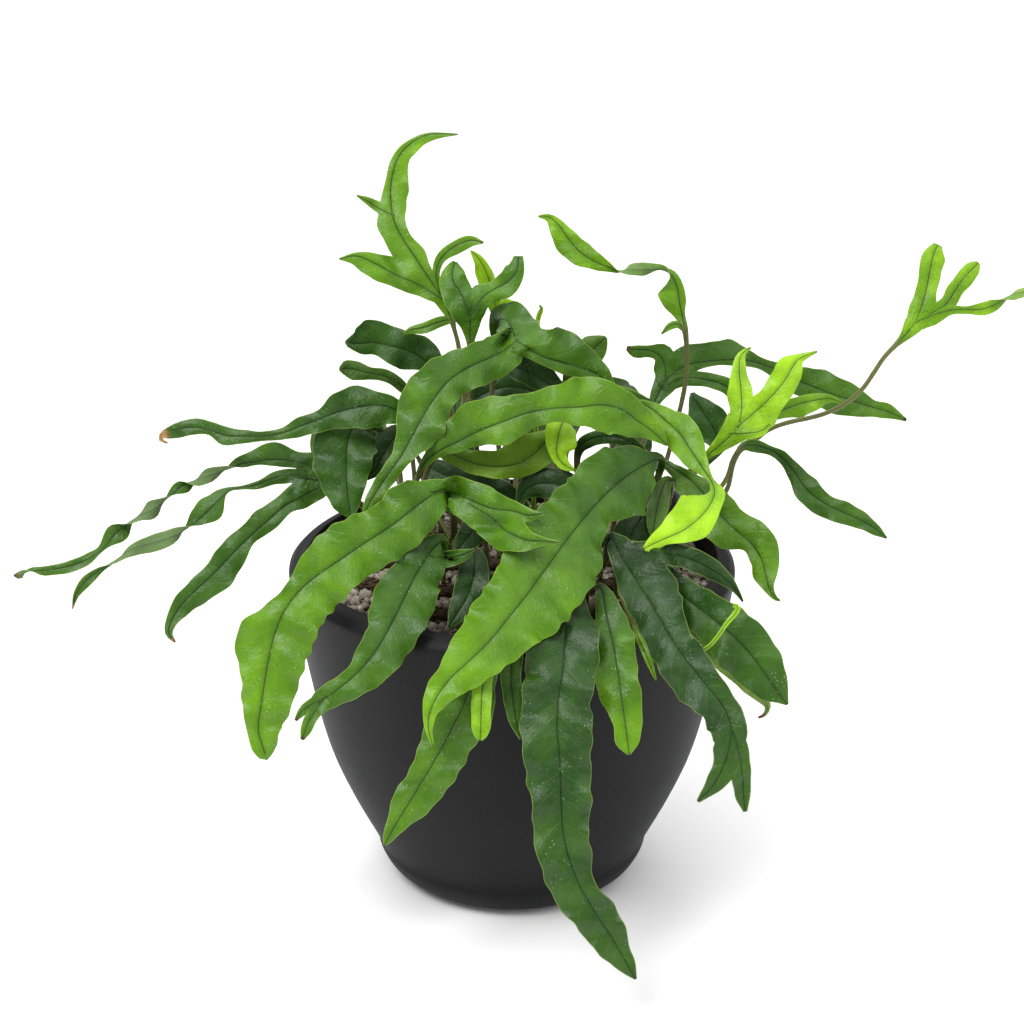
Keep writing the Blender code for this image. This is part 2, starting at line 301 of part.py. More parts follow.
    ("frond_right_light", "bright", ("rear", 54.0),
     [(80, 15, -58, 1.1, 1.1), (97, 29, -59, 1.1, 1.1), (110, 39.4, -58, 1.8, 1.8),
      (117, 43.4, -57, 2.6, 2.4), (124, 46.6, -57, 3.4, 4), (131, 49.2, -57, 3.6, 6),
      (138, 51, -57, 3.2, 4.8), (145, 51.8, -57, 2, 1.8), (151, 50, -57, 0.5, 0.5)], []),
    ("frond_right_shadow", "dark", ("rear", 47.0),
     [(78, 14, -46, 1.2, 1.2), (92, 26, -46, 2.4, 2.4), (94, 33, -46, 6.6, 5.4),
      (91, 40, -46, 9, 8.6), (87, 46, -46, 7.6, 7), (83.8, 51, -46, 3.6, 3.6),
      (82.4, 54.6, -46, 1, 1)], []),
    ("frond_upper_twisted", "bright", ("rear", 35.0),
     [(70, 22, -54, 1.1, 1.1), (75, 40, -54, 1.1, 1.1), (78.4, 54, -53, 1.1, 1.1),
      (80, 66, -52, 1.1, 1.1), (79.8, 77, -51, 1.2, 1.2), (78.8, 85, -50, 1.8, 1.6),
      (77.6, 91, -50, 4.4, 1.6), (76.4, 97, -49, 8.4, 3.4), (75.4, 103, -48, 8.6, 3),
      (72.6, 108.4, -47, 4, 2.6, 50), (68, 110.8, -46, 2.8, 2.8, 110),
      (61, 110.8, -45, 3.4, 3, 165), (54.4, 110.8, -45, 3, 2.6, 190),
      (49.4, 110.4, -45, 1.8, 1.8, 270), (44, 112, -45, 2.4, 2.6, 345),
      (37.6, 114.6, -45, 4, 4.6, 360), (31, 119, -45, 6.4, 5.4, 360),
      (26, 124.6, -45, 7, 4.4, 360), (21.8, 130.6, -45, 5.4, 2.8, 360),
      (17, 134.8, -45, 2.4, 1.6, 360), (12, 135.2, -44, 0.5, 0.5, 360)],
     [[(78.9, 83, -50, 1.2, 1.2), (76, 86, -49, 1.9, 1.7), (72, 85, -48, 1.9, 1.5),
       (68.4, 81.4, -47, 0.4, 0.4)]]),
    ("frond_inner_low", "dark", ("front", -24.0),
     [(-17, -30, 40, 1.2, 1.2), (-18, -20, 41, 1.2, 1.2), (-17.6, -17.6, 46, 3, 3),
      (-17, -25, 52, 6.6, 6.6), (-19.6, -37, 58, 7.4, 7.4), (-25, -46.4, 62, 4.6, 4.6),
      (-29, -53, 65, 0.8, 0.8)], []),
    ("frond_inner_left", "dark", ("middle", -11.0),
     [(-12, -12, 22, 1.2, 1.2), (-11, 2, 30, 3, 3), (-14, -3, 36, 7.4, 6.6),
      (-19, -10, 40, 7, 6), (-24.6, -17, 43, 3, 3), (-27, -20, 44, 0.8, 0.8)], []),
    ("frond_inner_right", "shade", ("middle", 48.0),
     [(57, -12, 14, 1.2, 1.2), (61, -1, 21, 2.4, 2.4), (58.4, -4, 29, 6.6, 6),
      (53.6, -11, 33, 8.6, 7.6), (50.4, -19.6, 36, 6.6, 6), (49, -27.6, 38, 0.9, 0.9)], []),
    ("frond_inner_back", "dark", ("centre", -18.0),
     [(-40, 13, -4, 1.2, 1.2), (-40, 21, 0, 2.6, 2.6), (-32, 17.6, 4, 6.4, 6),
      (-21, 13, 7, 8, 8), (-10, 9, 9, 8, 8), (1, 4, 10, 6, 6), (9, -2, 10, 1, 1)], []),
    ("frond_inner_arch", "shade", ("centre", 26.0),
     [(30, 14, -6, 1.2, 1.2), (30, 26, 2, 1.8, 1.8), (34, 32.4, 8, 3.2, 3.6),
      (43, 34.6, 13, 3, 3.4), (52, 33, 17, 3, 3.2), (59, 28, 19, 2.4, 2.4),
      (65, 21.6, 20, 0.6, 0.6)], []),
    ("frond_inner_crown", "dark", ("centre", 14.0),
     [(17, 42, -19, 1.2, 1.2), (15, 51, -19, 2.4, 2.4), (7, 56, -18, 6, 6),
      (-3, 57, -17.5, 7, 7), (-13, 54, -18, 6, 6), (-21, 49, -19, 1, 1)], []),
    ("frond_inner_middle", "dark", ("middle", 4.0),
     [(4, -4, 18, 1.2, 1.2), (4, 6, 20, 2.4, 2.4), (9, 12, 23, 6, 6), (18, 13, 26, 7.5, 7),
      (27, 10, 28, 7, 6), (36, 4, 30, 5, 5), (42, -2, 31, 1, 1)], []),
    ("frond_inner_far_left", "dark", ("rear", -59.0),
     [(-61, 26, -42, 1.2, 1.2), (-64, 34, -38, 3, 3), (-66, 41, -35, 6, 6),
      (-64, 47, -33, 5, 5), (-60, 51, -32, 1, 1)], []),
    ("frond_back_left", "dark", ("rear", -52.0),
     [(-54, 20, -66, 1.3, 1.3), (-60, 38, -78, 3, 3), (-66, 45, -92, 9, 9),
      (-74, 44, -110, 11, 11), (-82, 36, -127, 10, 10), (-86, 25, -141, 6, 6),
      (-88, 15, -150, 1, 1)], []),
    ("frond_back_middle", "mature", ("rear", 2.0),
     [(3, 34, -66, 1.3, 1.3), (6, 54, -82, 4, 4), (9, 58, -102, 11, 11), (11, 52, -124, 13, 13),
      (11, 38, -142, 12, 12), (9, 20, -154, 9, 9), (6, 2, -160, 1.2, 1.2)], []),
    ("frond_back_right", "dark", ("rear", 16.0),
     [(26, 30, -66, 1.3, 1.3), (30, 42, -74, 2.6, 2.6), (34.5, 50, -86, 6.5, 6.5),
      (40, 52.5, -99, 10, 10), (47, 49, -116, 12, 12), (52.5, 39, -132, 11, 11),
      (55.5, 25, -146, 7.6, 7.6), (57, 9, -157, 1.2, 1.2)], []),
    ("frond_back_paw", "shade", ("rear", -27.0),
     [(-26, 34, -68, 1.3, 1.3), (-26, 56, -82, 4, 4), (-27, 63, -98, 9, 9),
      (-30, 60, -114, 10, 10)],
     [[(-28, 61, -108, 6, 6), (-37, 54, -126, 7, 7), (-43, 42, -141, 6, 6),
       (-46, 28, -151, 1, 1)],
      [(-29, 61, -108, 6, 6), (-24, 50, -132, 8, 8), (-21, 36, -148, 7, 7),
       (-19, 20, -158, 1, 1)]]),
]

COLOURS = {
    "dark": ("frond_dark", (0.020, 0.090, 0.016)),
    "shade": ("frond_shade", (0.050, 0.150, 0.045)),
    "mature": ("frond_mature", (0.060, 0.200, 0.022)),
    "olive": ("frond_olive", (0.095, 0.190, 0.010)),
    "bright": ("frond_bright", (0.130, 0.320, 0.016)),
    "young": ("frond_young", (0.230, 0.430, 0.010)),
}


def material(name, colour, roughness):
    """One Principled material."""
    mat = bpy.data.materials.new(name)
    mat.use_nodes = True
    shader = mat.node_tree.nodes["Principled BSDF"]
    shader.inputs["Base Color"].default_value = (*colour, 1.0)
    shader.inputs["Roughness"].default_value = roughness
    mat.diffuse_color = (*colour, 1.0)
    return mat


def finish(obj, mat, home):
    """Give the object its material, smooth shading and a place in the part's collection."""
    obj.data.materials.clear()
    obj.data.materials.append(mat)
    for face in obj.data.polygons:
        face.use_smooth = True
    for old in list(obj.users_collection):
        old.objects.unlink(obj)
    home.objects.link(obj)
    return obj


def mesh_object(name, points, faces):
    """A mesh object from points in millimetres, its faces turned outward."""
    mesh = bpy.data.meshes.new(name)
    mesh.from_pydata([tuple(c * MM for c in p) for p in points], [], faces)
    work = bmesh.new()
    work.from_mesh(mesh)
    bmesh.ops.recalc_face_normals(work, faces=work.faces)
    work.to_mesh(mesh)
    work.free()
    obj = bpy.data.objects.new(name, mesh)
    bpy.context.scene.collection.objects.link(obj)
    return obj


def turned(name, profile, steps):
    """A turned solid: the profile (radius, height) swept round +Z with a Screw modifier."""
    mesh = bpy.data.meshes.new(name)
    points = [(r * MM, 0.0, z * MM) for r, z in profile]
    edges = [(i, i + 1) for i in range(len(points) - 1)]
    mesh.from_pydata(points, edges, [])
    obj = bpy.data.objects.new(name, mesh)
    bpy.context.scene.collection.objects.link(obj)
    screw = obj.modifiers.new("turn", "SCREW")
    screw.axis = "Z"
    screw.steps = steps
    screw.render_steps = steps
    screw.use_merge_vertices = True
    screw.merge_threshold = 0.00001
    screw.use_normal_calculate = True
    return obj


def spot(u, v, w):
    """The place, in millimetres, seen u right and v up of the aim, w toward the viewer."""
    s, c = math.sin(VIEW_RISE), math.cos(VIEW_RISE)
    shrink = (VIEW_DISTANCE - w) / VIEW_DISTANCE
    across, up = u * shrink, v * shrink
    return Vector((across, up * s - w * c, VIEW_AIM_HEIGHT + up * c + w * s))


def seen(x, y, z):
    """The reverse of spot: (u, v, w) of a place in millimetres."""
    s, c = math.sin(VIEW_RISE), math.cos(VIEW_RISE)
    rise = z - VIEW_AIM_HEIGHT
    up, w = y * s + rise * c, rise * s - y * c
    grow = VIEW_DISTANCE / (VIEW_DISTANCE - w)
    return Vector((x * grow, up * grow, w))


def rootstock_y(name, x):
    """Plan position of a rootstock: a gently bent line from left to right."""
    _, _, middle, slope, bend, _ = ROOTSTOCKS[name]
    return middle + slope * x + bend * (x / 50.0) ** 2


def stalk_stations(foot, blade):
    """Stations of the stalk: a curve that leaves the rootstock upward and meets the blade."""
    name, x = foot
    top = GRIT_TOP + 2.0 * GAP + 2.0 * ROOTSTOCKS[name][5]
    start = seen(x, rootstock_y(name, x), top)
    rise = seen(x, rootstock_y(name, x), top + 26.0)
    end = Vector(blade[0][:3])
    aim = (Vector(blade[1][:3]) - end).normalized()
    reach = (end - start).length
    pull = end - aim * min(0.35 * reach, 18.0)
    stations = []
    for k in (0, 1, 2, 3, 4):
        t = k / 5.0
        p = ((1 - t) ** 3 * start + 3 * (1 - t) ** 2 * t * rise
             + 3 * (1 - t) * t * t * pull + t ** 3 * end)
        stations.append((p.x, p.y, p.z, STALK, STALK))
    return stations


def blade(name, stations):
    """A leaf blade or stalk: a flat six-sided section carried along the stations."""
    centres = [Vector(s[:3]) for s in stations]
    points, faces = [], []
    last = len(stations) - 1
    for i, station in enumerate(stations):
        left, right = station[3], station[4]
        roll = math.radians(station[5]) if len(station) > 5 else 0.0
        ahead = (centres[min(i + 1, last)] - centres[max(i - 1, 0)]).normalized()
        out = Vector((0.0, 0.0, 1.0)).cross(ahead)
        out.normalize()
        front = ahead.cross(out)
        if front.z < 0:
            front.negate()
        side = out * math.cos(roll) + front * math.sin(roll)
        face = front * math.cos(roll) - out * math.sin(roll)
        width = left + right
        thick = 0.5 + 0.55 * math.exp(-(width / 4.0) ** 2) if width > 1.4 else 0.45
        fold = 0.10 * min(left, right)
        ring = [(left, fold, 0.0), (0.42 * left, 0.25 * fold, thick),
                (-0.42 * right, 0.25 * fold, thick), (-right, fold, 0.0),
                (-0.42 * right, -0.1 * fold, -thick), (0.42 * left, -0.1 * fold, -thick)]
        for across, lift, half in ring:
            p = centres[i] + side * across + face * (lift + half)
            points.append(tuple(spot(p.x, p.y, p.z)))
    n = 6
    for i in range(last):
        for j in range(n):
            k = (j + 1) % n
            faces.append((i * n + j, i * n + k, (i + 1) * n + k, (i + 1) * n + j))
    faces.append(tuple(range(n)))
    faces.append(tuple(last * n + j for j in range(n)))
    return mesh_object(name, points, faces)


def unite(body, extra):
    """Join two overlapping solids into one body."""
    join = body.modifiers.new("join", "BOOLEAN")
    join.operation = "UNION"
    join.solver = "EXACT"
    join.object = extra
    graph = bpy.context.evaluated_depsgraph_get()
    mesh = bpy.data.meshes.new_from_object(body.evaluated_get(graph))
    body.modifiers.clear()
    body.data = mesh
    bpy.data.objects.remove(extra)


for old in list(bpy.data.objects):
    bpy.data.objects.remove(old)

home = bpy.data.collections.new("kangaroo_paw_fern")
bpy.context.scene.collection.children.link(home)

# Planter: one moulded plastic bowl with a rounded shoulder and a flat foot.
outside = [(0.0, 0.0), (44.7, 0.0), (52.6, 1.7), (59.2, 6.6), (63.2, 13.6), (64.7, 20.0),
           (75.6, 42.0), (84.6, 63.5), (90.6, 85.0), (95.0, 106.5), (99.2, 130.0),
           (102.5, 150.8), (101.7, 154.2), (99.3, 156.8), (95.8, POT_HEIGHT)]
inside = [(94.7, 157.4), (94.4, 156.0), (94.6, 128.0), (90.4, 104.0), (80.6, 63.5),
          (71.6, 42.0), (60.6, 20.0), (48.0, POT_FLOOR), (0.0, POT_FLOOR)]
pot = turned("pot", outside + inside, 44)
finish(pot, material("pot_plastic", (0.022, 0.022, 0.024), 0.45), home)

# Growing mix: mineral grit filling the planter up to just under the rim.
grit = turned("grit", [(0.0, POT_FLOOR + GAP), (47.4, POT_FLOOR + GAP), (59.8, 20.2),
                       (71.0, 42.2), (80.0, 63.7), (89.8, 104.2), (93.9, 128.0),
                       (93.9, GRIT_TOP - 1.6), (92.6, GRIT_TOP), (0.0, GRIT_TOP)], 44)
finish(grit, material("grit_mineral", (0.300, 0.250, 0.200), 0.90), home)

# Rootstocks: furry brown creeping stems lying on the grit, the fronds stand on them.
root_mat = material("rootstock_bark", (0.090, 0.050, 0.025), 0.85)
for name, (x0, x1, _, _, _, radius) in ROOTSTOCKS.items():
    rows, ring = 13, 8
    points, faces = [], []
    for i in range(rows):
        x = x0 + 5.0 + (x1 - x0 - 10.0) * (i - 1) / (rows - 3)
        x = min(max(x, x0), x1)
        size = radius * (0.45 if i in (0, rows - 1) else 1.0)
        y = rootstock_y(name, x)
        slant = rootstock_y(name, x + 1.0) - rootstock_y(name, x - 1.0)
        ahead = Vector((2.0, slant, 0.0)).normalized()
        side = Vector((-ahead.y, ahead.x, 0.0))
        for j in range(ring):
            a = 2.0 * math.pi * (j + 0.5) / ring
            reach = size / math.cos(math.pi / ring)
            p = (Vector((x, y, GRIT_TOP + GAP + radius)) + side * reach * math.cos(a)
                 + Vector((0.0, 0.0, reach * math.sin(a))))
            points.append(tuple(p))
    for i in range(rows - 1):
        for j in range(ring):
            k = (j + 1) % ring
            faces.append((i * ring + j, i * ring + k, (i + 1) * ring + k, (i + 1) * ring + j))
    faces.append(tuple(range(ring)))
    faces.append(tuple((rows - 1) * ring + j for j in range(ring)))
    finish(mesh_object("rootstock_" + name, points, faces), root_mat, home)

# Water level gauge: a plastic tube standing in the grit near the rim, with a domed cap.
gauge = turned("water_level_gauge", [(0.0, 0.0), (GAUGE_RADIUS, 0.0),
                                     (GAUGE_RADIUS, GAUGE_HEIGHT - 3.6),
                                     (0.85 * GAUGE_RADIUS, GAUGE_HEIGHT - 1.6),
                                     (0.5 * GAUGE_RADIUS, GAUGE_HEIGHT - 0.4),
                                     (0.0, GAUGE_HEIGHT)], 20)
gauge.location = (GAUGE_X * MM, GAUGE_Y * MM, (GRIT_TOP + GAP) * MM)
finish(gauge, material("gauge_plastic", (0.030, 0.030, 0.034), 0.40), home)

# Fronds: leathery blades on wiry stalks; a lobed frond is one grown piece.
leaf_mats = {key: material(label, colour, 0.45) for key, (label, colour) in COLOURS.items()}
for name, tone, foot, trunk, lobes in FRONDS:
    body = blade(name, stalk_stations(foot, trunk) + trunk)
    for lobe in lobes:
        unite(body, blade(name + "_lobe", lobe))
    finish(body, leaf_mats[tone], home)
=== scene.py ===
"""Kangaroo paw fern in its planter, as it stands in the photograph: the planter is dressed
first, then what fills it, then the fronds from the crown outward.  Metres, +Z up, -Y toward
the viewer.  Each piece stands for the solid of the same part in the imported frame."""

import math
import bpy
import numpy as np
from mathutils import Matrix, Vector


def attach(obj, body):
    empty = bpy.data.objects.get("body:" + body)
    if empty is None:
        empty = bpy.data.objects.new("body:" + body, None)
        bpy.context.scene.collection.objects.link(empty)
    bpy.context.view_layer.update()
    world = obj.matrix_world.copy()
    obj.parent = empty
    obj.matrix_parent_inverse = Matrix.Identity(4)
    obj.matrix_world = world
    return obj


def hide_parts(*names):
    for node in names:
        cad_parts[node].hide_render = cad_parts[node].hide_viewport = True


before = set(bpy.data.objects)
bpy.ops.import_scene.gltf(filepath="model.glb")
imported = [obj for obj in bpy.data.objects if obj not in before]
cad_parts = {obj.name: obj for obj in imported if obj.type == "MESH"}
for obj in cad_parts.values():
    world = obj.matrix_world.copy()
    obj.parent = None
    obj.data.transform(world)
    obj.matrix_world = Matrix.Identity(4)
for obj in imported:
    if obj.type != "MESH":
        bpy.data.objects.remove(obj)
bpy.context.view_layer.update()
MM = 0.001

# The studio: the viewer looks down a little on the planter from 1.2 m.  Wide soft lamps
# light it on a white table, in a white surround that is dim at the horizon, so that the
# leaves keep their contrast, and bright overhead.
VIEW_DISTANCE = 1200.0
VIEW_RISE = math.radians(21.56)
VIEW_AIM_HEIGHT = 178.6
LENS = 92.25
SENSOR = 36.0
NEAREST_SEEN = 0.05
HORIZON_LIGHT = 0.22
ZENITH_LIGHT = 1.75
DIM_UP_TO = 0.15

camera = bpy.data.objects.new("camera", bpy.data.cameras.new("camera"))
camera.data.lens = LENS
camera.data.sensor_width = SENSOR
camera.data.clip_start = NEAREST_SEEN
camera.location = (0.0, -VIEW_DISTANCE * math.cos(VIEW_RISE) * MM,
                   (VIEW_AIM_HEIGHT + VIEW_DISTANCE * math.sin(VIEW_RISE)) * MM)
camera.rotation_euler = (math.pi / 2 - VIEW_RISE, 0.0, 0.0)
bpy.context.scene.collection.objects.link(camera)
bpy.context.scene.camera = camera
bpy.context.scene.view_settings.view_transform = "Standard"


def lamp(name, place, aim, width, watts):
    """A square softbox at place, turned to aim, both in metres."""
    data = bpy.data.lights.new(name, "AREA")
    data.size = width
    data.energy = watts
    box = bpy.data.objects.new(name, data)
    box.location = place
    box.rotation_euler = (Vector(aim) - box.location).to_track_quat("-Z", "Y").to_euler()
    bpy.context.scene.collection.objects.link(box)


lamp("key_lamp", (-0.55, -0.75, 1.35), (0.0, 0.0, 0.15), 0.6, 17.0)
lamp("side_lamp", (1.0, -0.5, 0.8), (0.0, 0.0, 0.15), 0.7, 2.5)
lamp("back_lamp", (-0.2, 1.1, 1.1), (0.0, 0.0, 0.2), 0.9, 5.0)
world = bpy.data.worlds.new("white_surround")
world.use_nodes = True
surround = world.node_tree
upward = surround.nodes.new("ShaderNodeSeparateXYZ")
way = surround.nodes.new("ShaderNodeTexCoord")
brightness = surround.nodes.new("ShaderNodeMapRange")
brightness.inputs["From Min"].default_value = DIM_UP_TO
brightness.inputs["To Min"].default_value = HORIZON_LIGHT
brightness.inputs["To Max"].default_value = ZENITH_LIGHT
surround.links.new(way.outputs["Generated"], upward.inputs["Vector"])
surround.links.new(upward.outputs["Z"], brightness.inputs["Value"])
surround.links.new(brightness.outputs["Result"], surround.nodes["Background"].inputs["Strength"])
surround.nodes["Background"].inputs["Color"].default_value = (1.0, 1.0, 1.0, 1.0)
bpy.context.scene.world = world


class Value:
    """A socket of a finish; arithmetic on it, with numbers or other sockets, adds Math nodes."""

    def __init__(self, finish, socket):
        self.finish = finish
        self.socket = socket

    def math(self, operation, *others):
        sockets = dict(enumerate((self, *others)))
        return self.finish.node("ShaderNodeMath", {"operation": operation}, sockets)

    def __add__(self, other):
        return self.math("ADD", other)

    def __sub__(self, other):
        return self.math("SUBTRACT", other)

    def __rsub__(self, other):
        return self.finish.node("ShaderNodeMath", {"operation": "SUBTRACT"}, {0: other, 1: self})

    def __mul__(self, other):
        return self.math("MULTIPLY", other)

    def __truediv__(self, other):
        return self.math("DIVIDE", other)

    def __abs__(self):
        return self.math("ABSOLUTE")

    __radd__ = __add__
    __rmul__ = __mul__

    def rise(self, low, high):
        """0 below low, 1 above high, smooth between; low may be the greater, to fall."""
        sockets = {"Value": self, "From Min": low, "From Max": high}
        return self.finish.node("ShaderNodeMapRange", {"interpolation_type": "SMOOTHSTEP"},
                                sockets)

    def ramp(self, stops):
        """A colour ramp with stops (position, colour)."""
        return self.finish.node("ShaderNodeValToRGB", {"stops": stops}, {0: self})


class Finish:
    """A material in the making, with one Principled shader."""

    def __init__(self, name, roughness=0.5, **fixed):
        self.material = bpy.data.materials.new(name)
        self.material.use_nodes = True
        self.tree = self.material.node_tree
        self.shader = self.tree.nodes["Principled BSDF"]
        self.set("Roughness", roughness)
        for socket, value in fixed.items():
            self.set(socket.replace("_", " "), value)

    def node(self, kind, settings=None, sockets=None, out=0):
        """Any node: its settings first, then values or links for its sockets."""
        made = self.tree.nodes.new(kind)
        for setting, value in (settings or {}).items():
            if setting == "stops":
                band = made.color_ramp.elements
                while len(band) < len(value):
                    band.new(1.0)
                for stop, (position, colour) in zip(band, value):
                    stop.position = position
                    stop.color = (*colour, 1.0)
            else:
                setattr(made, setting, value)
        for socket, value in (sockets or {}).items():
            self.feed(made.inputs[socket], value)
        return Value(self, made.outputs[out])

    def feed(self, socket, value):
        if isinstance(value, Value):
            self.tree.links.new(value.socket, socket)
        elif isinstance(value, tuple) and len(socket.default_value) == 4:
            socket.default_value = (*value[:3], 1.0)
        else:
            socket.default_value = value

    def set(self, socket, value):
        self.feed(self.shader.inputs[socket], value)

    def mark(self, name):
        """A number carried by the mesh's own vertices."""
        return self.node("ShaderNodeAttribute", {"attribute_name": name}, out="Fac")

    def place(self):
        """Where a point is on the piece, in millimetres."""
        where = self.node("ShaderNodeTexCoord", out="Object")
        scaled = {0: where, 1: (1.0 / MM, 1.0 / MM, 1.0 / MM)}
        return self.node("ShaderNodeVectorMath", {"operation": "MULTIPLY"}, scaled)

    def noise(self, where, size, detail=2.0, rough=0.5):
        """Cloudy noise, 0 to 1, with features about size millimetres across."""
        sockets = {"Vector": where, "Scale": 1.0 / size, "Detail": detail, "Roughness": rough}
        return self.node("ShaderNodeTexNoise", {}, sockets)

    def cells(self, where, size, feature="F1", out="Distance"):
        """Cells about size millimetres across; out is the distance or each cell's colour."""
        sockets = {"Vector": where, "Scale": 1.0 / size}
        return self.node("ShaderNodeTexVoronoi", {"feature": feature}, sockets, out)

    def mix(self, factor, first, second, blend="MIX"):
        """Two colours mixed, or blended the way that blend names.  A Mix node has its colour
        sockets at 6 and 7, and its colour output at 2."""
        settings = {"data_type": "RGBA", "blend_type": blend}
        sockets = {"Factor": factor, 6: first, 7: second}
        return self.node("ShaderNodeMix", settings, sockets, 2)

    def relief(self, height, depth):
        """Bump: height 0 to 1 stands for depth millimetres."""
        bump = self.node("ShaderNodeBump", {}, {"Height": height, "Distance": depth * MM})
        self.set("Normal", bump)


def faces_around(rows, columns, first=0):
    """Faces of a grid of points that closes on itself sideways.  The points are numbered
    from first, row by row; row i and column j make the face (i, j), (i, j+1), (i+1, j+1),
    (i+1, j), and the first column follows the last."""
    place = first + np.arange(rows * columns).reshape(rows, columns)
    beside = np.roll(place, -1, 1)
    return np.stack([place[:-1], beside[:-1], beside[1:], place[1:]], -1).reshape(-1, 4)


def mesh_piece(name, points, quads, finish, marks):
    """A smooth piece from points in millimetres and four-cornered faces, turned outward.
    Points in one place, as at a pole, become one, and a face whose corners meet there
    becomes a triangle.  marks are numbers per point, by name."""
    keys = np.round(points, 4)
    _, first, same = np.unique(keys, axis=0, return_index=True, return_inverse=True)
    points = points[first]
    quads = same.reshape(-1)[quads]
    a, b, c, d = (points[quads[:, k]] for k in range(4))
    if np.einsum("ij,ij->", a, np.cross(b, c) + np.cross(c, d)) < 0.0:
        quads = quads[:, ::-1]
    meets = quads == np.roll(quads, -1, 1)
    whole = quads[~meets.any(1)]
    torn = quads[meets.sum(1) == 1]
    keep = ~(torn == np.roll(torn, -1, 1))
    corners = np.concatenate([whole.ravel(), torn[keep]])
    sides = np.concatenate([np.full(len(whole), 4), np.full(len(torn), 3)])
    mesh = bpy.data.meshes.new(name)
    mesh.vertices.add(len(points))
    mesh.vertices.foreach_set("co", (points * MM).astype(np.float32).ravel())
    mesh.loops.add(len(corners))
    mesh.loops.foreach_set("vertex_index", corners.astype(np.int32))
    mesh.polygons.add(len(sides))
    mesh.polygons.foreach_set("loop_start", (np.cumsum(sides) - sides).astype(np.int32))
    mesh.polygons.foreach_set("use_smooth", np.ones(len(sides), bool))
    for mark, values in marks.items():
        layer = mesh.attributes.new(mark, "FLOAT", "POINT")
        layer.data.foreach_set("value", values.reshape(-1)[first].astype(np.float32))
    mesh.update(calc_edges=True)
    mesh.validate()
    mesh.materials.append(finish.material)
    piece = bpy.data.objects.new(name, mesh)
    bpy.context.scene.collection.objects.link(piece)
    return piece


FLOW_STEPS = 24


def flow(points, spacing):
    """Rows of numbers read from a smooth line through the given rows, about spacing apart
    in their first three columns, and how far along each is (Catmull-Rom: between rows p1
    and p2 the point at t is half of 2 p1 + (p2 - p0) t + (2 p0 - 5 p1 + 4 p2 - p3) t^2
    + (3 p1 - p0 - 3 p2 + p3) t^3)."""
    points = np.asarray(points, float)
    before = np.concatenate([2 * points[:1] - points[1:2], points[:-1]])
    after = np.concatenate([points[1:], 2 * points[-1:] - points[-2:-1]])
    beyond = np.concatenate([after[1:], after[-1:]])
    t = np.linspace(0.0, 1.0, FLOW_STEPS, endpoint=False)[:, None]

    def curve(p0, p1, p2, p3):
        return 0.5 * (2 * p1 + (p2 - p0) * t + (2 * p0 - 5 * p1 + 4 * p2 - p3) * t ** 2
                      + (3 * p1 - p0 - 3 * p2 + p3) * t ** 3)

    spans = zip(before[:-1], points[:-1], after[:-1], beyond[:-1])
    fine = np.concatenate([curve(*span) for span in spans] + [points[-1:]])
    run = np.linalg.norm(np.diff(fine[:, :3], axis=0), axis=1)
    run = np.concatenate([[0.0], np.cumsum(run)])
    reads = np.linspace(0.0, run[-1], max(4, int(run[-1] / spacing) + 1))
    return np.stack([np.interp(reads, run, column) for column in fine.T], -1), reads


# Planter: one blow-moulded bowl of dark grey plastic with a dull, finely pitted skin, a
# flat foot and a lip rolled inward.  It stands on the table under its own weight.
FOOT_RADIUS = 44.7
FLOOR_THICK = 4.0
OUTER = [(FOOT_RADIUS, 0.0), (52.6, 1.7), (59.2, 6.6), (63.2, 13.6), (64.7, 20.0), (75.6, 42.0),
         (84.6, 63.5), (90.6, 85.0), (95.0, 106.5), (99.2, 130.0), (102.5, 150.8),
         (101.7, 154.2), (99.3, 156.8), (95.8, 158.0)]
INNER_WALL = [(94.7, 157.4), (94.4, 156.0), (94.6, 128.0), (90.4, 104.0), (80.6, 63.5),
              (71.6, 42.0), (60.6, 20.0), (48.0, FLOOR_THICK)]
PLANTER_SIDES = 240
PLANTER_STEP = 1.5
SKIN_DARK = (0.006, 0.006, 0.0065)
SKIN_LIGHT = (0.014, 0.014, 0.015)

skin = Finish("pot_plastic", Specular_IOR_Level=0.12)
where = skin.place()
cloud = skin.noise(where, 34.0, 4.0)
pits = skin.noise(where, 0.9, 2.0)
scuffs = skin.noise(where, 5.0, 6.0, 0.7).rise(0.56, 0.74)
skin.set("Base Color", skin.mix(0.35 * cloud + 0.30 * pits + 0.25 * scuffs,
                                SKIN_DARK, SKIN_LIGHT))
skin.set("Roughness", 0.46 + 0.10 * cloud + 0.08 * pits)
skin.relief(pits + 0.6 * cloud, 0.10)


def turned(profile, sides, middle=(0.0, 0.0, 0.0)):
    """Points of a turned form about an upright line through middle: (r, z) at angle a stands
    at middle + (r cos a, r sin a, z)."""
    angle = np.linspace(0.0, 2 * math.pi, sides, endpoint=False)
    radius, height = np.asarray(profile, float).T
    return np.array(middle) + np.stack([radius[:, None] * np.cos(angle),
                                        radius[:, None] * np.sin(angle),
                                        np.repeat(height[:, None], sides, 1)], -1)


def turned_piece(name, grid, finish):
    """A piece whose skin is the rows of a turned form."""
    return mesh_piece(name, grid.reshape(-1, 3), faces_around(*grid.shape[:2]), finish, {})


def bowed(profile, spacing):
    """A smooth profile through (r, z) points."""
    flat = [(r, z, 0.0) for r, z in profile]
    return flow(flat, spacing)[0][:, :2]


wall = np.concatenate([[(0.0, 0.0)], bowed(OUTER + INNER_WALL, PLANTER_STEP),
                       [(0.0, FLOOR_THICK)]])
planter = turned_piece("planter", turned(wall, PLANTER_SIDES), skin)
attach(planter, "root")
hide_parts("pot")

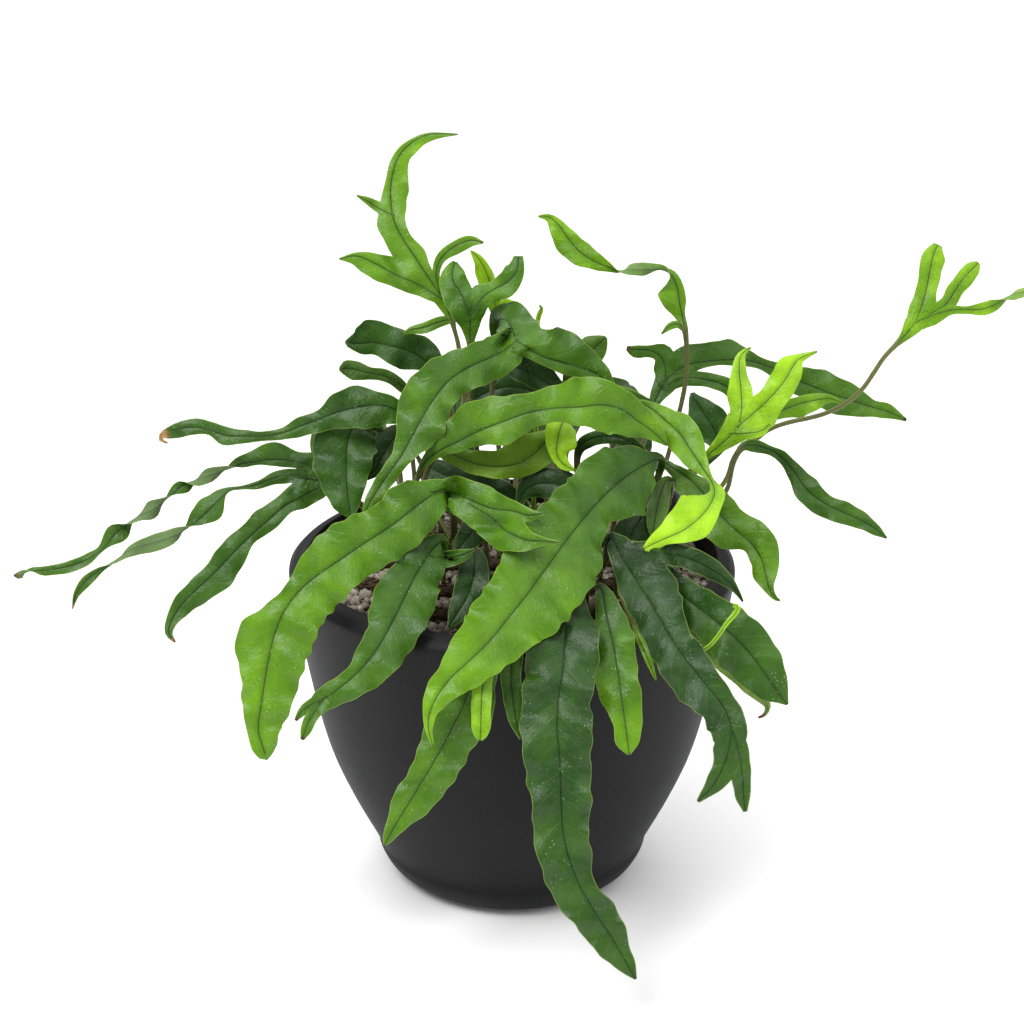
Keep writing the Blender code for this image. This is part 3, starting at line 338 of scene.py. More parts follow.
# Growing mix: loose grains of pumice, lava and baked clay, about 3 to 5 mm across, tipped
# in up to a finger's breadth under the rim.  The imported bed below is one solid.
BED_TOP = 146.0
BED_RADIUS = 92.0
GRAIN = 4.2
GRAINS = 2750
PUMICE = (0.25, 0.22, 0.175)
CLAY = (0.13, 0.10, 0.072)
LAVA = (0.036, 0.030, 0.026)
ASH = (0.42, 0.39, 0.34)
DUST = (0.16, 0.13, 0.10)
PACKED = (0.20, 0.165, 0.13)
# painted shade: the near-black colour painted into the gaps of the packed bed
PACKED_GAP_SHADE = (0.022, 0.017, 0.014)
PACKED_GRAIN = 4.4

dust = Finish("grit_mineral", 0.95, Specular_IOR_Level=0.25)
where = dust.place()
kind = dust.mark("kind").ramp([(0.0, LAVA), (0.22, CLAY), (0.5, PUMICE), (0.85, PUMICE),
                               (1.0, ASH)])
pores = dust.noise(where, 0.7, 3.0, 0.7)
dusty = dust.mix(0.55 * pores, kind, DUST)
dust.set("Base Color", dust.mix(dust.noise(where, 2.2, 2.0).rise(0.55, 0.8), dusty, ASH))
dust.relief(pores, 0.5)

bed = Finish("packed_grit", 0.97, Specular_IOR_Level=0.2)
where = bed.place()
stones = bed.cells(where, PACKED_GRAIN)
tints = bed.cells(where, PACKED_GRAIN, out="Color")
# painted shade: the gaps between the packed stones are painted near-black, standing in for the shade
# in the crevices between grains
gaps = stones.rise(0.25, 0.62)
bed.set("Base Color", bed.mix(gaps, bed.mix(0.25, PACKED, tints, "MULTIPLY"), PACKED_GAP_SHADE))
bed.relief(1.0 - gaps, 1.6)
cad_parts["grit"].data.materials.clear()
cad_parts["grit"].data.materials.append(bed.material)


def grain_shape():
    """A ball from a cube whose sides are cut in four: its 26 points and 24 faces."""
    steps = np.array([-1.0, 0.0, 1.0])
    x, y, z = (side.ravel() for side in np.meshgrid(steps, steps, steps, indexing="ij"))
    points = np.stack([x, y, z], -1)
    corners = []
    for axis in range(3):
        for end in (-1.0, 1.0):
            side = [k for k in range(27) if points[k][axis] == end]
            patch = np.array(side).reshape(3, 3)
            cut = np.stack([patch[:-1, :-1], patch[:-1, 1:], patch[1:, 1:], patch[1:, :-1]], -1)
            corners.append(cut.reshape(-1, 4)[:, ::int(end) if axis != 1 else -int(end)])
    ball = points / np.maximum(np.linalg.norm(points, axis=1), 0.5)[:, None]
    return ball, np.concatenate(corners)


def loose_grains(draw):
    """Each grain is the ball, stretched along its own axes by 0.7 to 1.25, knocked out of
    round by up to a fifth, turned at random and dropped where a sunflower spiral, shaken
    by half a grain, puts it; heights are even over half a grain."""
    ball, faces = grain_shape()
    step = np.arange(GRAINS)
    reach = BED_RADIUS * np.sqrt((step + 0.5) / GRAINS)
    angle = step * math.pi * (3.0 - math.sqrt(5.0))
    seat = np.stack([reach * np.cos(angle), reach * np.sin(angle), np.zeros(GRAINS)], -1)
    seat[:, :2] += draw.uniform(-0.5, 0.5, (GRAINS, 2)) * GRAIN
    far = np.linalg.norm(seat[:, :2], axis=1)
    seat[:, :2] *= np.minimum(1.0, (BED_RADIUS - 0.3) / far)[:, None]
    size = 0.5 * GRAIN * draw.uniform(0.62, 1.2, (GRAINS, 1, 1))
    stretch = draw.uniform(0.7, 1.25, (GRAINS, 1, 3))
    knocks = draw.uniform(0.8, 1.12, (GRAINS, len(ball), 1))
    turns, _ = np.linalg.qr(draw.normal(size=(GRAINS, 3, 3)))
    shapes = (ball * knocks * stretch * size) @ turns
    seat[:, 2] = BED_TOP + draw.uniform(0.0, 0.5 * GRAIN, GRAINS)
    quads = faces[None] + (step * len(ball))[:, None, None]
    kinds = np.repeat(draw.uniform(0.0, 1.0, GRAINS), len(ball))
    return (shapes + seat[:, None]).reshape(-1, 3), quads.reshape(-1, 4), kinds


grain_points, grain_quads, grain_kinds = loose_grains(np.random.default_rng(11))
grains = mesh_piece("loose_grains", grain_points, grain_quads, dust, {"kind": grain_kinds})
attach(grains, "root")

# Rootstocks: the creeping stems that the fronds grow from.  They lie on the grains and
# are covered in brown, papery, overlapping scales.  Each has its two ends in x, then the
# middle, slope and bend of its line, and its radius.
ROOTSTOCKS = {
    "front": (-58.0, 64.0, -54.0, 0.02, 9.0, 3.4),
    "middle": (-72.0, 74.0, -26.0, 0.04, 6.0, 3.8),
    "centre": (-74.0, 78.0, 6.0, 0.03, 2.0, 3.8),
    "rear": (-66.0, 70.0, 38.0, -0.05, -3.0, 3.4),
}
SCALES = 420
STEM_ROWS = 90
STEM_SIDES = 24
STEM_LIFT = 0.6
STEM_CORE = 0.80
STEM_END = 5.0
SCALE_SEAT = 0.72
SCALE_MARGIN = 4.0
BARK_DARK = (0.016, 0.009, 0.005)
BARK_LIGHT = (0.110, 0.066, 0.032)

fur = Finish("rootstock_bark", 0.85, Specular_IOR_Level=0.3)
where = fur.place()
strands = fur.noise(where, 0.8, 4.0, 0.7)
patches = fur.noise(where, 6.0, 2.0)
fur.set("Base Color", fur.mix(0.7 * strands + 0.5 * patches - 0.25, BARK_DARK, BARK_LIGHT))
fur.relief(strands, 0.6)


def rootstock_line(name, x):
    """Middle of a rootstock at x: y = middle + slope x + bend (x / 50)^2."""
    _, _, middle, slope, bend, radius = ROOTSTOCKS[name]
    return np.stack([x, middle + slope * x + bend * (x / 50.0) ** 2,
                     np.full_like(x, BED_TOP + STEM_LIFT + radius)], -1)


def furry_stem(name, draw):
    """A knobbly tube with round ends, and scales: each is a bent diamond that stands on
    the tube at a random place and leans along it."""
    x0, x1, _, _, _, radius = ROOTSTOCKS[name]
    along = np.linspace(0.0, 1.0, STEM_ROWS)
    x = x0 + (x1 - x0) * along
    middle = rootstock_line(name, x)
    from_end = np.clip(1.0 - np.minimum(x - x0, x1 - x) / STEM_END, 0, 1)
    ends = np.sqrt(np.clip(1.0 - from_end ** 2, 0, 1))
    angle = np.linspace(0.0, 2 * math.pi, STEM_SIDES, endpoint=False)
    knobs = (np.sin(x[:, None] / 2.3 + 2 * angle) * np.sin(x[:, None] / 5.1 - angle) * 0.10
             + np.sin(x[:, None] / 1.3 + 3 * angle) * 0.05)
    reach = radius * STEM_CORE * (1.0 + knobs) * ends[:, None]
    tube = middle[:, None] + np.stack([0 * reach, reach * np.cos(angle), reach * np.sin(angle)], -1)
    spot_x = draw.uniform(x0 + SCALE_MARGIN, x1 - SCALE_MARGIN, SCALES)
    lean = draw.uniform(-0.5, 0.5, SCALES)
    turn = draw.uniform(0.0, 2 * math.pi, SCALES)
    out = np.stack([0 * turn, np.cos(turn), np.sin(turn)], -1)
    sweep = np.stack([np.ones(SCALES), -np.sin(turn) * lean, np.cos(turn) * lean], -1)
    across = np.cross(out, sweep)
    base = rootstock_line(name, spot_x) + out * radius * SCALE_SEAT
    long = draw.uniform(1.6, 3.2, (SCALES, 1))
    shape = np.array([[-0.5, 0, 0.0], [0.1, 0.32, 0.35], [1.0, 0, 0.75], [0.1, -0.32, 0.35],
                      [0.1, 0, 0.62], [0.1, 0, 0.2]])
    flakes = (base[:, None] + (sweep * long)[:, None] * shape[None, :, :1]
              + (across * long)[:, None] * shape[None, :, 1:2]
              + (out * long * 0.5)[:, None] * shape[None, :, 2:])
    corners = np.array([[0, 1, 4, 4], [1, 2, 4, 4], [2, 3, 4, 4], [3, 0, 4, 4],
                        [1, 0, 5, 5], [2, 1, 5, 5], [3, 2, 5, 5], [0, 3, 5, 5]])
    starts = STEM_ROWS * STEM_SIDES + len(shape) * np.arange(SCALES)
    more = (corners[None] + starts[:, None, None]).reshape(-1, 4)
    points = np.concatenate([tube.reshape(-1, 3), flakes.reshape(-1, 3)])
    return points, np.concatenate([faces_around(STEM_ROWS, STEM_SIDES), more])


for number, name in enumerate(ROOTSTOCKS):
    stem_points, stem_quads = furry_stem(name, np.random.default_rng(20 + number))
    stem = mesh_piece("creeping_stem_" + name, stem_points, stem_quads, fur, {})
    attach(stem, "root")
    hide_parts("rootstock_" + name)

# Water level gauge: a thin dark plastic tube set upright in the grains near the rim.  A
# groove runs round it under its domed cap.
GAUGE_FOOT = (76.8, 34.0, BED_TOP + 0.3)
GAUGE_HEIGHT = 30.0
GAUGE_SIDES = 72
GAUGE_STEP = 0.25
GAUGE = [(2.8, 0.0), (2.8, 21.6), (2.74, 21.9), (2.5, 22.1), (2.5, 22.7), (2.76, 22.9),
         (2.8, 23.4), (2.78, 25.6), (2.45, 27.9), (1.7, 29.3), (0.8, 29.9)]
TUBE_DARK = (0.018, 0.018, 0.021)
TUBE_LIGHT = (0.045, 0.045, 0.05)

tube = Finish("gauge_plastic", Specular_IOR_Level=0.5)
where = tube.place()
fine = tube.noise(where, 0.6, 3.0)
tube.set("Base Color", tube.mix(fine, TUBE_DARK, TUBE_LIGHT))
tube.set("Roughness", 0.34 + 0.16 * fine)
tube.relief(fine, 0.05)
gauge_line = np.concatenate([[(0.0, 0.0)], bowed(GAUGE, GAUGE_STEP), [(0.0, GAUGE_HEIGHT)]])
gauge = turned_piece("level_gauge", turned(gauge_line, GAUGE_SIDES, GAUGE_FOOT), tube)
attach(gauge, "root")
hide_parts("water_level_gauge")

# Fronds of the crown: leathery blades, about half a millimetre thick and satin on top,
# on wiry stalks that grow from the rootstocks.  These stand up at the back, most of them
# left of the middle.  A frond and its lobes are one grown piece.
LEAF_HALF = 0.26
STALK_HALF = 1.12
COLUMNS = 12
ROW_SPACING = 1.8
NARROWEST = 0.28
BLADE_FROM = 3.4
STALK_ROWS = 5
STALK_SUNK = 0.3
STALK_RISE = 26.0
STALK_PULL = 18.0
# painted shade: the darkest green of the blade tone, for old fronds that lie in shade
SHADED_OLD_GREEN = (0.005, 0.020, 0.003)
DEEP = (0.015, 0.052, 0.005)
GREEN = (0.042, 0.118, 0.004)
FRESH = (0.108, 0.250, 0.003)
LIME = (0.33, 0.60, 0.014)
RIB = (0.012, 0.014, 0.008)
WIRE = (0.040, 0.046, 0.012)
OLIVE_WIRE = (0.10, 0.12, 0.025)
TAN = (0.34, 0.19, 0.07)
BROWN = (0.060, 0.028, 0.012)
VEIN = (0.30, 0.45, 0.08)
MARGIN = (0.26, 0.36, 0.05)
UNDERSIDE = (0.20, 0.27, 0.13)
SPECK = (0.50, 0.58, 0.38)
WORN_WIRE = (0.12, 0.12, 0.035)
NO_CAST = (1.0, 1.0, 1.0)
SINK_NEAR = 5.5
SINK_SOFT = 4.0
SINK_CLEAR = 0.14
SINK_REACH = 45.0
SINK_FADE = 12.0
SINK_DEEPEST = 14.0


def leaf_finish(slot, cast, dull, wire):
    """Skin of a blade.  Its green follows the mesh's mark fresh, 0 old and in
    painted shade to 1 just unrolled and in painted light, times cast; dull is its roughness;
    wire is the colour of the stalk."""
    leaf = Finish(slot, Specular_IOR_Level=0.26)
    where = leaf.place()
    across, along, edge = (abs(leaf.mark("across")), leaf.mark("along"), leaf.mark("edge"))
    under, dry = leaf.mark("under"), leaf.mark("dry")
    clouds = leaf.noise(where, 15.0, 3.0)
    grain = leaf.noise(where, 1.2, 3.0, 0.65)
    fresh = leaf.mark("fresh") + 0.42 * (clouds - 0.5) + 0.16 * (grain - 0.5)
    # painted light and shade: the ramp paints each blade darker where it lies in shade and lighter
    # where it is lit, as well as greener with age; its darkest stops are painted shade
    green = fresh.ramp([(0.0, SHADED_OLD_GREEN), (0.25, DEEP), (0.5, GREEN), (0.75, FRESH),
                        (1.0, LIME)])
    green = leaf.mix(1.0, green, cast, "MULTIPLY")
    slant = (along - 0.9 * across) * 1.05 + 9.0 * clouds
    veins = slant.math("SINE").rise(0.80, 1.0) * edge.rise(0.3, 2.0)
    green = leaf.mix(0.05 * veins * clouds, green, VEIN)
    margin = edge.rise(0.55, 0.12)
    green = leaf.mix(0.45 * margin, green, MARGIN)
    slim = 0.30 - 0.15 * leaf.mark("grown")
    rib = (across / slim).rise(1.7, 0.5) * leaf.mark("ribbed")
    branch = (abs(leaf.mark("other")) / slim).rise(1.7, 0.5) * leaf.mark("other_ribbed")
    rib = rib.math("MAXIMUM", branch)
    halo = across.rise(2.6, 0.4)
    green = leaf.mix(0.22 * halo * leaf.mark("ribbed"), green, DEEP)
    below = leaf.mix(0.35, green, UNDERSIDE)
    green = leaf.mix(under, green, below)
    green = leaf.mix(rib * (0.60 - 0.30 * under), green, RIB)
    specks = leaf.cells(where, 1.7).rise(0.18, 0.08) * leaf.noise(where, 11.0).rise(0.52, 0.68)
    green = leaf.mix(0.55 * specks, green, SPECK)
    parched = (dry + 0.5 * (grain - 0.5)).rise(0.15, 0.45)
    green = leaf.mix(parched, green, leaf.mix(clouds.rise(0.35, 0.6), TAN, BROWN))
    stalk = leaf.mark("stalk")
    stem = leaf.mix(grain, wire, WORN_WIRE)
    leaf.set("Base Color", leaf.mix(stalk, green, stem))
    satin = dull + 0.16 * (grain - 0.4) + 0.20 * (clouds - 0.5) + 0.20 * under + 0.3 * parched
    leaf.set("Roughness", satin)
    puckers = leaf.cells(where, 3.1, "SMOOTH_F1")
    dimples = leaf.noise(where, 5.5, 2.0)
    leaf.relief(0.6 * grain + 0.4 * puckers + 1.3 * dimples - 0.6 * rib + 0.15 * veins, 0.42)
    return leaf


def spot(seen_at):
    """Places seen u right and v up of the aim, and w toward the viewer, in millimetres:
    x = u k, y = v k s - w c, z = aim + v k c + w s, with k = (distance - w) / distance
    and s and c the sine and cosine of the viewer's rise."""
    u, v, w = np.moveaxis(np.asarray(seen_at, float), -1, 0)
    s, c = math.sin(VIEW_RISE), math.cos(VIEW_RISE)
    shrink = (VIEW_DISTANCE - w) / VIEW_DISTANCE
    return np.stack([u * shrink, v * shrink * s - w * c,
                     VIEW_AIM_HEIGHT + v * shrink * c + w * s], -1)


def seen(x, y, z):
    """The reverse of spot, for one place."""
    s, c = math.sin(VIEW_RISE), math.cos(VIEW_RISE)
    rise = z - VIEW_AIM_HEIGHT
    up, w = y * s + rise * c, rise * s - y * c
    grow = VIEW_DISTANCE / (VIEW_DISTANCE - w)
    return np.array([x * grow, up * grow, w])


def unit(vectors):
    """Vectors of length one."""
    return vectors / np.maximum(np.linalg.norm(vectors, axis=-1, keepdims=True), 1e-9)


def stalk_rows(rootstock, foot_x, blade):
    """Rows of a stalk, which leaves its rootstock upward and bends into the blade."""
    foot = rootstock_line(rootstock, np.array([foot_x]))[0]
    top = foot[2] + ROOTSTOCKS[rootstock][5] - STALK_SUNK
    start, rise = seen(foot[0], foot[1], top), seen(foot[0], foot[1], top + STALK_RISE)
    end = np.array(blade[0][:3])
    aim = unit(np.array(blade[1][:3]) - end)
    pull = end - aim * min(0.35 * np.linalg.norm(end - start), STALK_PULL)
    t = (np.arange(STALK_ROWS) / STALK_ROWS)[:, None]
    path = ((1 - t) ** 3 * start + 3 * (1 - t) ** 2 * t * rise
            + 3 * (1 - t) * t * t * pull + t ** 3 * end)
    return [(*p, STALK_HALF, STALK_HALF, 0.0) for p in path]


def rounded(rows):
    """A half ellipse of rows before the first, so that a lobe starts round."""
    first, second = np.array(rows[0]), np.array(rows[1])
    back = unit(first[:3] - second[:3]) * 0.3 * (first[3] + first[4])
    added = []
    for x in (1.0, 0.9, 0.7, 0.4):
        round_off = max(0.05, math.sqrt(1.0 - x * x))
        added.append((*(first[:3] + back * x), *(first[3:5] * round_off), first[5]))
    return added + rows


class Strip:
    """A blade's middle line in fine rows, with the directions and widths of each row."""

    def __init__(self, rows, starts_round, ends_round):
        rows = [(*row, 0.0)[:6] for row in rows]
        if starts_round:
            rows = rounded(rows)
        if ends_round:
            rows = rounded(rows[::-1])[::-1]
        fine, self.run = flow(rows, ROW_SPACING)
        self.line = fine[:, :3]
        self.left, self.right = np.maximum(fine[:, 3:5], NARROWEST).T
        self.ahead = unit(np.gradient(self.line, axis=0))
        out = unit(np.cross((0.0, 0.0, 1.0), self.ahead))
        front = np.cross(self.ahead, out)
        self.roll = roll = np.radians(fine[:, 5])[:, None]
        self.side = out * np.cos(roll) + front * np.sin(roll)
        self.face = front * np.cos(roll) - out * np.sin(roll)
        self.ribbed = np.ones(len(fine))
        if starts_round:
            self.ribbed[self.run < 0.3 * sum(rows[4][3:5])] = 0.0
        if ends_round:
            self.ribbed[self.run > self.run[-1] - 0.3 * sum(rows[-5][3:5])] = 0.0
        self.is_stalk = np.zeros(len(fine))
        if not starts_round:
            wide = np.argmax(self.left + self.right > BLADE_FROM)
            self.is_stalk = np.clip((self.run[wide] + 2.0 - self.run) / 6.0, 0.0, 1.0)

    def beside(self, points):
        """For points: how far they are to the left of the rib, and inside the margin."""
        step = points[:, None] - self.line[None]
        near = np.argmin(np.einsum("ijk,ijk->ij", step, step), 1)
        step = points - self.line[near]
        aside = np.einsum("ij,ij->i", step, self.side[near])
        past = np.abs(np.einsum("ij,ij->i", step, self.ahead[near]))
        deep = np.abs(np.einsum("ij,ij->i", step, self.face[near]))
        half = np.where(aside > 0, self.left[near], self.right[near])
        inside = half - np.abs(aside) - 2 * np.maximum(0, past - 1.2) - np.maximum(0, deep - 4)
        return aside, inside, self.ribbed[near]


def sheet_of(strip, draw, waves):
    """The middle surface of a blade, row i at column t from 1 (left) to -1 (right), lies at
    line + side (t half) + face lift.  With m = |t| and s the way along, half is the width
    on that side times 1 + 0.03 sin(2 pi s / (0.55 length)) + 0.012 sin(2 pi s / 8.3), so
    its margin wanders, and lift = 0.07 half sin(pi m^0.8) + cup half m^2 (a blade is domed
    on each side of its rib, and cupped where it rolls), + ruffle m^1.7 sin(2 pi s / length
    + sway), + slow swells 0.03 half (sin(2 pi s / 23 + 2.6 t) + 0.8 sin(2 pi s / 14.5
    - 3.4 t)) that run slantwise over the blade.  Each wave starts at a phase of its own,
    and the margin's and the ruffle's differ from side to side."""
    x = np.linspace(0.0, 1.0, COLUMNS + 1)
    t = 3 * x ** 2 - 2 * x ** 3
    t = np.concatenate([t[::-1], -t[1:]])
    m = np.abs(t)
    s = strip.run[:, None]
    length, phase = draw.uniform(17.0, 25.0), draw.uniform(0.0, 2 * math.pi, 6)
    sway = 0.9 * np.sin(2 * math.pi * s / 57.0 + phase[4])
    half = np.where(t > 0, strip.left[:, None], strip.right[:, None])
    on_right = (t < 0).astype(int)
    half = half * (1.0 + 0.03 * np.sin(2 * math.pi * s / (0.55 * length) + phase[2 + on_right])
                   + 0.012 * np.sin(2 * math.pi * s / 8.3 + phase[5 - on_right]))
    ruffle = waves * np.minimum(0.21 * half, 2.6) * m ** 1.7
    cup = 0.06 + 0.5 * np.abs(np.sin(strip.roll))
    swells = (np.sin(2 * math.pi * s / 23.0 + 2.6 * t + phase[5])
              + 0.8 * np.sin(2 * math.pi * s / 14.5 - 3.4 * t + phase[3]))
    lift = (0.07 * half * np.sin(math.pi * m ** 0.8) + cup * half * m ** 2
            + ruffle * np.sin(2 * math.pi * s / length + phase[on_right] + sway)
            + 0.03 * half * swells)
    lift = lift * (1.0 - strip.is_stalk[:, None])
    across = t * half
    points = (strip.line[:, None] + strip.side[:, None] * across[..., None]
              + strip.face[:, None] * lift[..., None])
    return points, across, (1.0 - m) * half, t


def laid_on(points, strip, cloud):
    """A lobe's first rows sink onto the blade that they grow from: near it, their depth
    becomes that of the nearest points of cloud, and a hair more."""
    rows = np.flatnonzero(strip.run < SINK_REACH)
    flat = points[rows].reshape(-1, 3)
    gaps = flat[:, None, :2] - cloud[None, :, :2]
    square = np.einsum("ijk,ijk->ij", gaps, gaps)
    order = np.argpartition(square, 4, 1)[:, :4]
    near = np.take_along_axis(square, order, 1)
    weight = 1.0 / (near + 0.05)
    depth = (weight * cloud[order, 2]).sum(1) / weight.sum(1)
    close = np.clip((SINK_NEAR - np.sqrt(near.min(1))) / SINK_SOFT, 0.0, 1.0)
    close = close ** 2 * (3 - 2 * close)
    fade = np.clip((SINK_REACH - strip.run[rows]) / SINK_FADE, 0.0, 1.0)
    close = close * np.repeat(fade, points.shape[1])
    close[np.abs(flat[:, 2] - depth) > SINK_DEEPEST] = 0.0
    flat[:, 2] += close * (depth + SINK_CLEAR - flat[:, 2])
    points[rows] = flat.reshape(len(rows), -1, 3)


def ring(top, bottom):
    """Top columns one way and bottom columns back, the shared margins once."""
    return np.concatenate([top, bottom[:, -2:0:-1]], 1)


def capped(grid, first, last):
    """The rows with one more at each end."""
    return np.concatenate([first[None], grid, last[None]])


def frond(name, finish, rootstock, foot_x, trunk, lobes, fresh, dry, turned_over, waves):
    """One frond: its stalk and blade, and its lobes.  fresh is its tone at the foot and
    at the tip: how young its green is, together with painted light and shade, low where the
    frond lies in shade and high where it is lit.  dry is how many millimetres of each tip have
    withered, and waves is how strongly its margins ruffle.  turned_over is 1 where its
    underside faces the viewer, or else 0."""
    draw = np.random.default_rng(sum(map(ord, name)))
    strips = [Strip(stalk_rows(rootstock, foot_x, trunk) + trunk, False, bool(lobes))]
    strips += [Strip(lobe, True, False) for lobe in lobes]
    reach = strips[0].run[-1] + max([strip.run[-1] for strip in strips[1:]], default=0.0)
    clouds, meshes, count = [], [], 0
    for number, strip in enumerate(strips):
        points, across, edge, t = sheet_of(strip, draw, waves)
        joins = 0.0
        if number:
            laid_on(points, strip, np.concatenate(clouds))
            gap = np.linalg.norm(strips[0].line - strip.line[4], axis=1)
            joins = strips[0].run[np.argmin(gap)]
        clouds.append(points[strip.is_stalk < 0.5].reshape(-1, 3))
        other = np.full(across.size, 50.0)
        other_ribbed = np.zeros(across.size)
        edge = edge.reshape(-1)
        for kin in strips:
            if kin is not strip:
                aside, inside, ribbed = kin.beside(points.reshape(-1, 3))
                edge = np.maximum(edge, inside)
                ribbed = ribbed * np.clip(inside / 1.5, 0.0, 1.0)
                nearer = (inside > 0) & (np.abs(aside) < np.abs(other))
                other = np.where(nearer, aside, other)
                other_ribbed = np.where(nearer, ribbed, other_ribbed)
        half = 0.5 * (strip.left + strip.right)
        thick = np.minimum(LEAF_HALF, 0.5 * half)
        thick = thick + (half - thick) * strip.is_stalk
        swell = thick[:, None] * np.sqrt(np.maximum(0.0, 1.0 - t ** 2))
        rise = strip.face[:, None] * swell[..., None]
        solid = ring(points + rise, points - rise)
        solid = capped(solid, 0 * solid[0] + points[0, COLUMNS], 0 * solid[0] + points[-1, COLUMNS])
        along = np.repeat(strip.run[:, None] + joins, len(t), 1)
        grown = along / reach
        left_over = strip.run[-1] - strip.run[:, None]
        withered = np.clip(1.0 - left_over / dry, 0.0, 1.0) if dry and (number or not lobes) else 0.0
        # painted light and shade: the tone mark runs from the frond's value at its foot to that at
        # its tip, and these values are low for fronds in shade and high for lit ones
        marks = {"across": across, "along": along, "edge": edge.reshape(across.shape),
                 "other": other.reshape(across.shape), "grown": grown,
                 "other_ribbed": other_ribbed.reshape(across.shape),
                 "ribbed": 0 * across + strip.ribbed[:, None],
                 "stalk": 0 * across + strip.is_stalk[:, None],
                 "fresh": fresh[0] + (fresh[1] - fresh[0]) * grown,
                 "dry": 0 * across + withered}
        both = {mark: ring(value, value) for mark, value in marks.items()}
        both["under"] = ring(0 * across + turned_over, 0 * across + 1.0 - turned_over)
        both = {mark: capped(value, value[0], value[-1]) for mark, value in both.items()}
        rows, columns = solid.shape[:2]
        quads = faces_around(rows, columns, count)
        meshes.append((spot(solid).reshape(-1, 3), quads, both))
        count += rows * columns
    points = np.concatenate([mesh[0] for mesh in meshes])
    quads = np.concatenate([mesh[1] for mesh in meshes])
    marks = {mark: np.concatenate([mesh[2][mark].reshape(-1) for mesh in meshes])
             for mark in meshes[0][2]}
    return mesh_piece(name, points, quads, finish, marks)


def place_fronds(group):
    """Grow each frond of a group, in the place of its solid.  A row of a group gives its
    name, finish, rootstock and the x of its foot, fresh (its green's age with painted
    light and shade, at foot and tip), dry, turned_over and waves, the stations of its blade,
    and those of each lobe.  A station is (u, v, w) as spot has them, the width left and right
    of the rib, and a turn about it in degrees, or none."""
    for name, slot, rootstock, foot_x, fresh, dry, turned_over, waves, trunk, lobes in group:
        piece = frond("leaf_" + name, leaves[slot], rootstock, foot_x, trunk, lobes, fresh, dry,
                      turned_over, waves)
        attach(piece, "root")
        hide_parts("frond_" + name)


